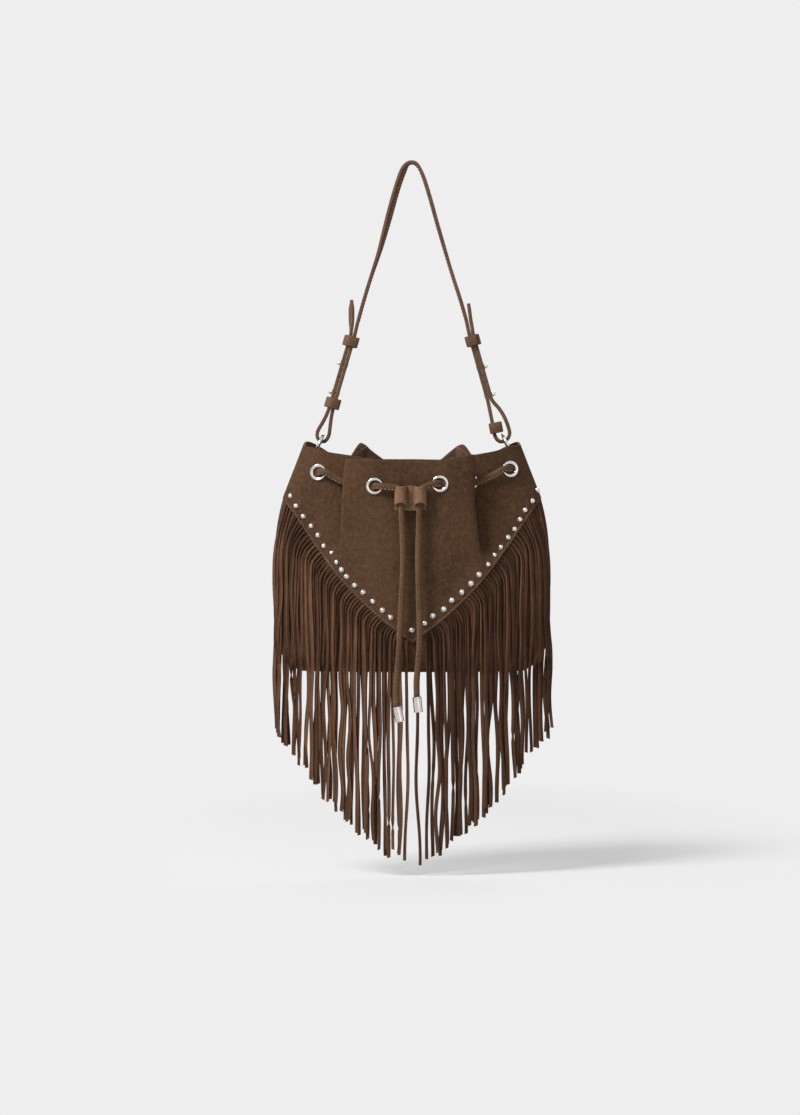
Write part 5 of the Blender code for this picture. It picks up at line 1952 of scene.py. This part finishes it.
@dataclass
class Drawcord:
    """The folded and stitched cord, its two ends, their metal tips and the slide."""

    shell: Shell
    finishes: Finishes
    grommets: tuple
    tall: float = 6.0 * MM
    thick: float = 4.2 * MM
    inside: float = -6.6
    outside: float = 4.6
    slider_x: float = -1.5 * MM
    slider_z: float = -290.0 * MM
    slider_off: float = 5.9 * MM
    tunnels: float = 16.8 * MM

    def rows(self, half: Half) -> list[tuple]:
        """The places that the held cord passes on one side, as in the CAD model.

        Args:
            half: left or right.

        Returns:
            Rows of quarter, share, height and distance out of the wall, in mm.
        """
        holes = {name: (q, s, h) for name, q, _, s, h in self.grommets}
        side = half.name.lower()
        left = half is Half.LEFT
        front, pleat, flank = holes[f"front_{side}"], holes[f"pleat_{side}"], holes[f"side_{side}"]
        rear_side, rear = holes[f"back_side_{side}"], holes[f"back_{side}"]
        f, b = Quarter.FRONT, Quarter.BACK

        def by(hole: tuple, step: float, out: float) -> tuple:
            """A place next to an eyelet."""
            return (hole[0], hole[1] + step, hole[2], out)

        start = (
            [(f, 0.062, -286.4, 5.9), (f, 0.070, -283.6, 5.9), (f, 0.100, -282.2, 5.6), (f, 0.140, -281.8, 4.9)]
            if left
            else [(f, 0.043, -286.4, 5.9), (f, 0.052, -283.4, 5.9), (f, 0.080, -281.0, 5.3)]
        )
        inner = (
            [(f, 0.208, -281.0, -8.6), (f, 0.530, -279.6, -7.4), (f, 0.552, -278.6, -7.0)]
            if left
            else [(f, 0.150, -279.2, -9.6), (f, 0.535, -278.8, -10.5), (f, 0.556, -278.2, -8.0)]
        )
        corner = (
            [(f, 0.905, -269.0, -9.4), (f, 0.980, -269.4, -11.6), (b, 0.070, -269.8, -9.6)]
            if left
            else [(f, 0.915, -266.6, -9.4), (f, 0.980, -267.8, -11.6), (b, 0.070, -269.2, -9.6)]
        )
        i, o = self.inside, self.outside
        return (
            start + [by(front, -0.030, 4.6), by(front, -0.005, 1.4), by(front, -0.004, -4.4)] + inner
            + [(f, 0.580, -277.6, -7.0), by(pleat, -0.036, i), by(pleat, 0.0, -4.4), by(pleat, 0.0, 2.0)]
            + [by(pleat, 0.036, o)]
            + [(f, 0.735, -273.0, 3.8) if left else (f, 0.750, -271.4, 3.8)]
            + [by(flank, -0.036, o), by(flank, -0.005, 2.0), by(flank, -0.004, -4.4), by(flank, 0.036, i)]
            + corner
            + [by(rear_side, -0.036, i), by(rear_side, 0.0, -4.4), by(rear_side, 0.0, 2.0), by(rear_side, 0.036, o)]
            + [(b, 0.265, -272.0, 4.2), (b, 0.580, -274.0, 5.2), (b, 0.602, -275.0, 4.4), (b, 0.635, -276.2, 3.8)]
            + [(b, 0.710, -277.8, 3.8), by(rear, -0.036, o), by(rear, 0.0, 2.0), by(rear, 0.0, -4.4)]
            + [by(rear, 0.036, i), (b, 0.930, -279.6, -6.0)]
        )

    def held(self) -> None:
        """The part that runs through the eyelets, with stitches along its lower edge."""
        middle, way = self.hang_line()
        halves = {}
        for half in Half:
            points = []
            for quarter, share, height, out in self.rows(half):
                place, normal = self.shell.frame(quarter, half, share, height * MM)
                points.append(place + normal * out * MM)
            x = -9.9 * MM if half is Half.LEFT else 6.9 * MM
            halves[half] = [Vector((x, middle.y, middle.z)) - way * 0.5 * MM, *points]
        rear, normal = self.shell.frame(Quarter.BACK, Half.LEFT, 1.0, -279.8 * MM)
        route = halves[Half.LEFT] + [rear - normal * 5.6 * MM] + halves[Half.RIGHT][::-1]
        points = Track(through(route)).spaced(2.4 * MM)
        centre = len(points) // 2

        def section(k: int, share: float) -> list[tuple[float, float]]:
            """A folded strip: round at its top, thin where its edges are sewn.

            Args:
                k: the point's number.
                share: the share of the way.

            Returns:
                The outline's points.
            """
            shape = []
            for a, b in oval(self.thick, self.tall, 16, 2.3):
                thin = 1.0 - 0.34 * ease((-b / self.tall * 2 + 0.1) / 0.9)
                shape.append((a * thin * (1 + 0.05 * waver(k * 0.21, a * 900)), b))
            return shape

        cord = sweep("cord_through_eyelets", points, Vector((0, 0, 1)), section, 180.0, start=centre)
        self.finishes.dress(cord, "cord")
        line, normals = [], []
        for p, (_, up, across) in zip(points, frames(points, Vector((0, 0, 1)), centre)):
            outward = across if across.dot(Vector((p.x, p.y, 0.0))) > 0 else -across
            line.append(p - up * (self.tall / 2 - 1.15 * MM) + outward * self.thick * 0.42)
            normals.append(outward)
        thread = stitches("cord_stitching", line, normals, 3.4 * MM, 2.2 * MM, 0.66 * MM)
        self.finishes.dress(thread, "thread")
        for piece in (cord, thread):
            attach(piece, "bag")
        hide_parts("drawcord")
        log.info("%s and %s", cord.name, thread.name)

    def hang_line(self) -> tuple[Vector, Vector]:
        """The slide's middle and the way down below it.

        Returns:
            The place and the direction.
        """
        y = self.shell.point(Quarter.FRONT, Half.RIGHT, 0.0, self.slider_z).y - self.slider_off
        return Vector((self.slider_x, y, self.slider_z)), Vector((0.0, 0.00287, -1.0)).normalized()

    def tails(self) -> None:
        """The two free ends, as they hang in the photograph, with their tips."""
        routes = {
            Half.LEFT: (
                (-9.7, -290.5), (-9.3, -300.0), (-8.3, -322.0), (-7.8, -345.0), (-8.8, -372.0), (-10.1, -397.0),
                (-11.3, -420.0), (-12.8, -441.0), (-13.5, -457.0), (-13.0, -471.0),
            ),
            Half.RIGHT: (
                (6.6, -290.5), (6.3, -300.0), (5.6, -322.0), (5.1, -345.0), (5.6, -372.0), (6.3, -396.0), (6.4, -412.0),
                (5.3, -430.0), (3.8, -448.0), (4.0, -462.5),
            ),
        }
        for half, rows in routes.items():
            side = half.name.lower()
            track = Track(through([Vector((x * MM, self.tail_y(z, half), z * MM)) for x, z in rows]))
            points = track.spaced(4.8 * MM)

            def section(k: int, share: float, half: Half = half) -> list[tuple[float, float]]:
                """A folded strip with its sewn edge on the left.

                Args:
                    k: the point's number.
                    share: the share of the way.
                    half: which end it is.

                Returns:
                    The outline's points.
                """
                wide = (5.2 if half is Half.LEFT else 5.4) * MM * (1 + 0.05 * waver(k * 0.3, half.value * 4.0))
                shape = []
                for a, b in oval(wide, 3.7 * MM, 16, 2.3):
                    thin = 1.0 - 0.3 * ease((-a / wide * 2 - 0.1) / 0.9)
                    shape.append((a, b * thin))
                turn = math.radians(14) * waver(k * 0.13, half.value * 7.0)
                c, s = math.cos(turn), math.sin(turn)
                return [(a * c - b * s, a * s + b * c) for a, b in shape]

            tail = sweep(f"cord_end_{side}", points, Vector((0, -1, 0)), section)
            self.finishes.dress(tail, "cord")
            line, normals = [], []
            for p, (_, up, across) in zip(points, frames(points, Vector((0, -1, 0)), 0)):
                left = across if across.x < 0 else -across
                line.append(p + left * 1.75 * MM + up * 1.22 * MM)
                normals.append((up + left * 0.5).normalized())
            thread = stitches(f"cord_end_stitching_{side}", line, normals, 3.4 * MM, 2.2 * MM, 0.42 * MM)
            self.finishes.dress(thread, "thread")
            down = (points[-1] - points[-2]).normalized()
            tilt = Vector((0.30, 0.0, -0.954)) if half is Half.LEFT else Vector((0.14, 0.0, -0.99))
            tip = self.tip(f"metal_tip_{side}", points[-1] - down * 1.2 * MM, (down + tilt * 2).normalized())
            takes_place(tail, f"drawcord_tail_{side}")
            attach(thread, "bag")
            takes_place(tip, f"ferrule_{side}")
            log.info("%s, %s: %.0f mm", tail.name, tip.name, track.length / MM)

    def tail_y(self, z: float, half: Half) -> float:
        """How far forward a free end hangs.

        Args:
            z: the height in mm.
            half: which end it is.

        Returns:
            Its place from front to back, in metres.
        """
        middle, way = self.hang_line()
        far = middle.z / MM - z
        return middle.y + way.y * far * MM + 0.5 * MM * math.sin(far / 40.0 + half.value)

    def tip(self, name: str, place: Vector, way: Vector) -> bpy.types.Object:
        """A metal tube closed at its far end, with a fine line turned round its top.

        Args:
            name: the piece's name.
            place: the middle of its open end.
            way: where it points.

        Returns:
            The new object.
        """
        r, long = 3.9 * MM, 13.2 * MM
        profile = [
            (r - 0.75 * MM, 0.0), (r - 0.25 * MM, -0.05 * MM), (r, 0.2 * MM), (r, 1.1 * MM), (r - 0.18 * MM, 1.3 * MM),
            (r - 0.18 * MM, 1.6 * MM), (r, 1.8 * MM), (r, 2.1 * MM), (r, long / 2), (r, long - 0.8 * MM),
            (r, long - 0.5 * MM), (r - 0.15 * MM, long - 0.12 * MM), (r - 0.5 * MM, long), (0.0, long),
        ]
        made = spun(name, profile, 32, 35.0)
        inner = spun(f"{name}_inside", [(0.0, 1.0 * MM), (r - 0.8 * MM, 0.9 * MM), (r - 0.75 * MM, 0.0)], 32, 60.0)
        made = joined(name, [made, inner])
        only(made)
        bpy.ops.object.mode_set(mode="EDIT")
        bpy.ops.mesh.select_all(action="SELECT")
        bpy.ops.mesh.remove_doubles(threshold=1e-6)
        bpy.ops.mesh.normals_make_consistent(inside=False)
        bpy.ops.object.mode_set(mode="OBJECT")
        soften(made, 35.0)
        move_mesh(made, stand(place, way))
        self.finishes.dress(made, "silver")
        return made

    def slide(self) -> None:
        """The two-channel slide: a back sheet, and a front sheet that bulges over each end of the cord."""
        middle, _ = self.hang_line()
        radius, half_gap = 4.75 * MM, self.tunnels / 2
        profile: list[tuple[float, float, float]] = []
        for k in range(15):
            a = math.radians(222 - 232 * k / 14)
            profile.append((-half_gap + radius * math.cos(a), -radius * math.sin(a), max(0.0, math.sin(a))))
        for x in (-2.6, -1.3, 0.0):
            profile.append((x * MM, (2.0 + 0.25 * abs(x)) * MM, -0.35))
        profile += [(-x, y, s) for x, y, s in reversed(profile[:-1])]
        rows = 14
        verts, faces = [], []
        for x, y, bulge in profile:
            top = (8.6 - 0.5 * max(0.0, bulge) + (0.5 if bulge < 0 else 0.0)) * MM
            low = (-8.0 + 2.4 * max(0.0, bulge) ** 1.4 + (1.6 if bulge < 0 else 0.0)) * MM
            side = abs(x) > half_gap + radius * 0.78
            if side:
                top -= 3.2 * MM * ease((abs(x) - half_gap - radius * 0.78) / (0.2 * radius))
            for k in range(rows + 1):
                t = k / rows
                puff = 1 + 0.045 * math.sin(math.pi * t) + 0.03 * waver(x * 300, t * 3.0, 4.0)
                verts.append(Vector((x * (1 + 0.012 * math.sin(6 * t)), y * puff, low + (top - low) * t)))
        for c in range(len(profile) - 1):
            for k in range(rows):
                a = c * (rows + 1) + k
                faces.append((a, a + rows + 1, a + rows + 2, a + 1))
        mesh = bpy.data.meshes.new("slide_front")
        mesh.from_pydata([tuple(v) for v in verts], [], faces)
        front = bpy.data.objects.new("slide_front", mesh)
        bpy.context.scene.collection.objects.link(front)
        only(bpy.context.scene.camera)
        bpy.ops.mesh.primitive_grid_add(x_subdivisions=18, y_subdivisions=14, size=1.0)
        rear = bpy.context.object
        for v in rear.data.vertices:
            x, t = v.co.x * 2, v.co.y * 2
            droop = 1.6 * (1 - x * x) if t < -0.99 else 0.0
            y, z = 3.35 + 0.2 * waver(x * 2, t * 2), -1.6 + t * 9.9 - 0.5 * droop
            v.co = Vector((x * (half_gap + radius * 0.98), y * MM, z * MM))
        made = joined("slide_sheets", [front, rear])
        thick = made.modifiers.new("thickness", "SOLIDIFY")
        thick.thickness = 1.2 * MM
        thick.offset = 0
        edge = made.modifiers.new("edge", "BEVEL")
        edge.width = 0.28 * MM
        edge.segments = 2
        edge.limit_method = "ANGLE"
        edge.angle_limit = math.radians(60)
        settle(made)
        soften(made, 60.0)
        lines = []
        for x in (-1.5, 1.5):
            line = [Vector((x * MM, (2.0 + 0.25 * abs(x) - 0.65) * MM, (-5.6 + 13.6 * k / 10) * MM)) for k in range(11)]
            lines.append(stitches(f"slide_thread_{x}", line, [Vector((0, -1, 0))] * 11, 2.3 * MM, 1.5 * MM, 0.4 * MM))
        thread = joined("slide_stitching", lines)
        place = Matrix.Translation(middle)
        for piece, finish in ((made, "slide"), (thread, "thread")):
            move_mesh(piece, place)
            self.finishes.dress(piece, finish)
            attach(piece, "slider")
        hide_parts("slider")
        log.info("%s and %s", made.name, thread.name)

    def build(self) -> None:
        """Makes and dresses all of it, the free ends first."""
        self.tails()
        self.held()
        self.slide()


def main() -> None:
    """Builds the scene.
    """
    logging.basicConfig(level=logging.INFO, format="%(message)s")
    Studio().build()
    finishes = Finishes()
    finishes.build()
    shell = Shell()
    hardware = Hardware(shell, finishes)
    Drawcord(shell, finishes, hardware.grommets).build()
    Body(shell, finishes).build()
    Fringe(shell, finishes).build()
    Studs(shell, finishes).build()
    Strap(finishes).build()
    hardware.build()


if __name__ == "__main__":
    main()
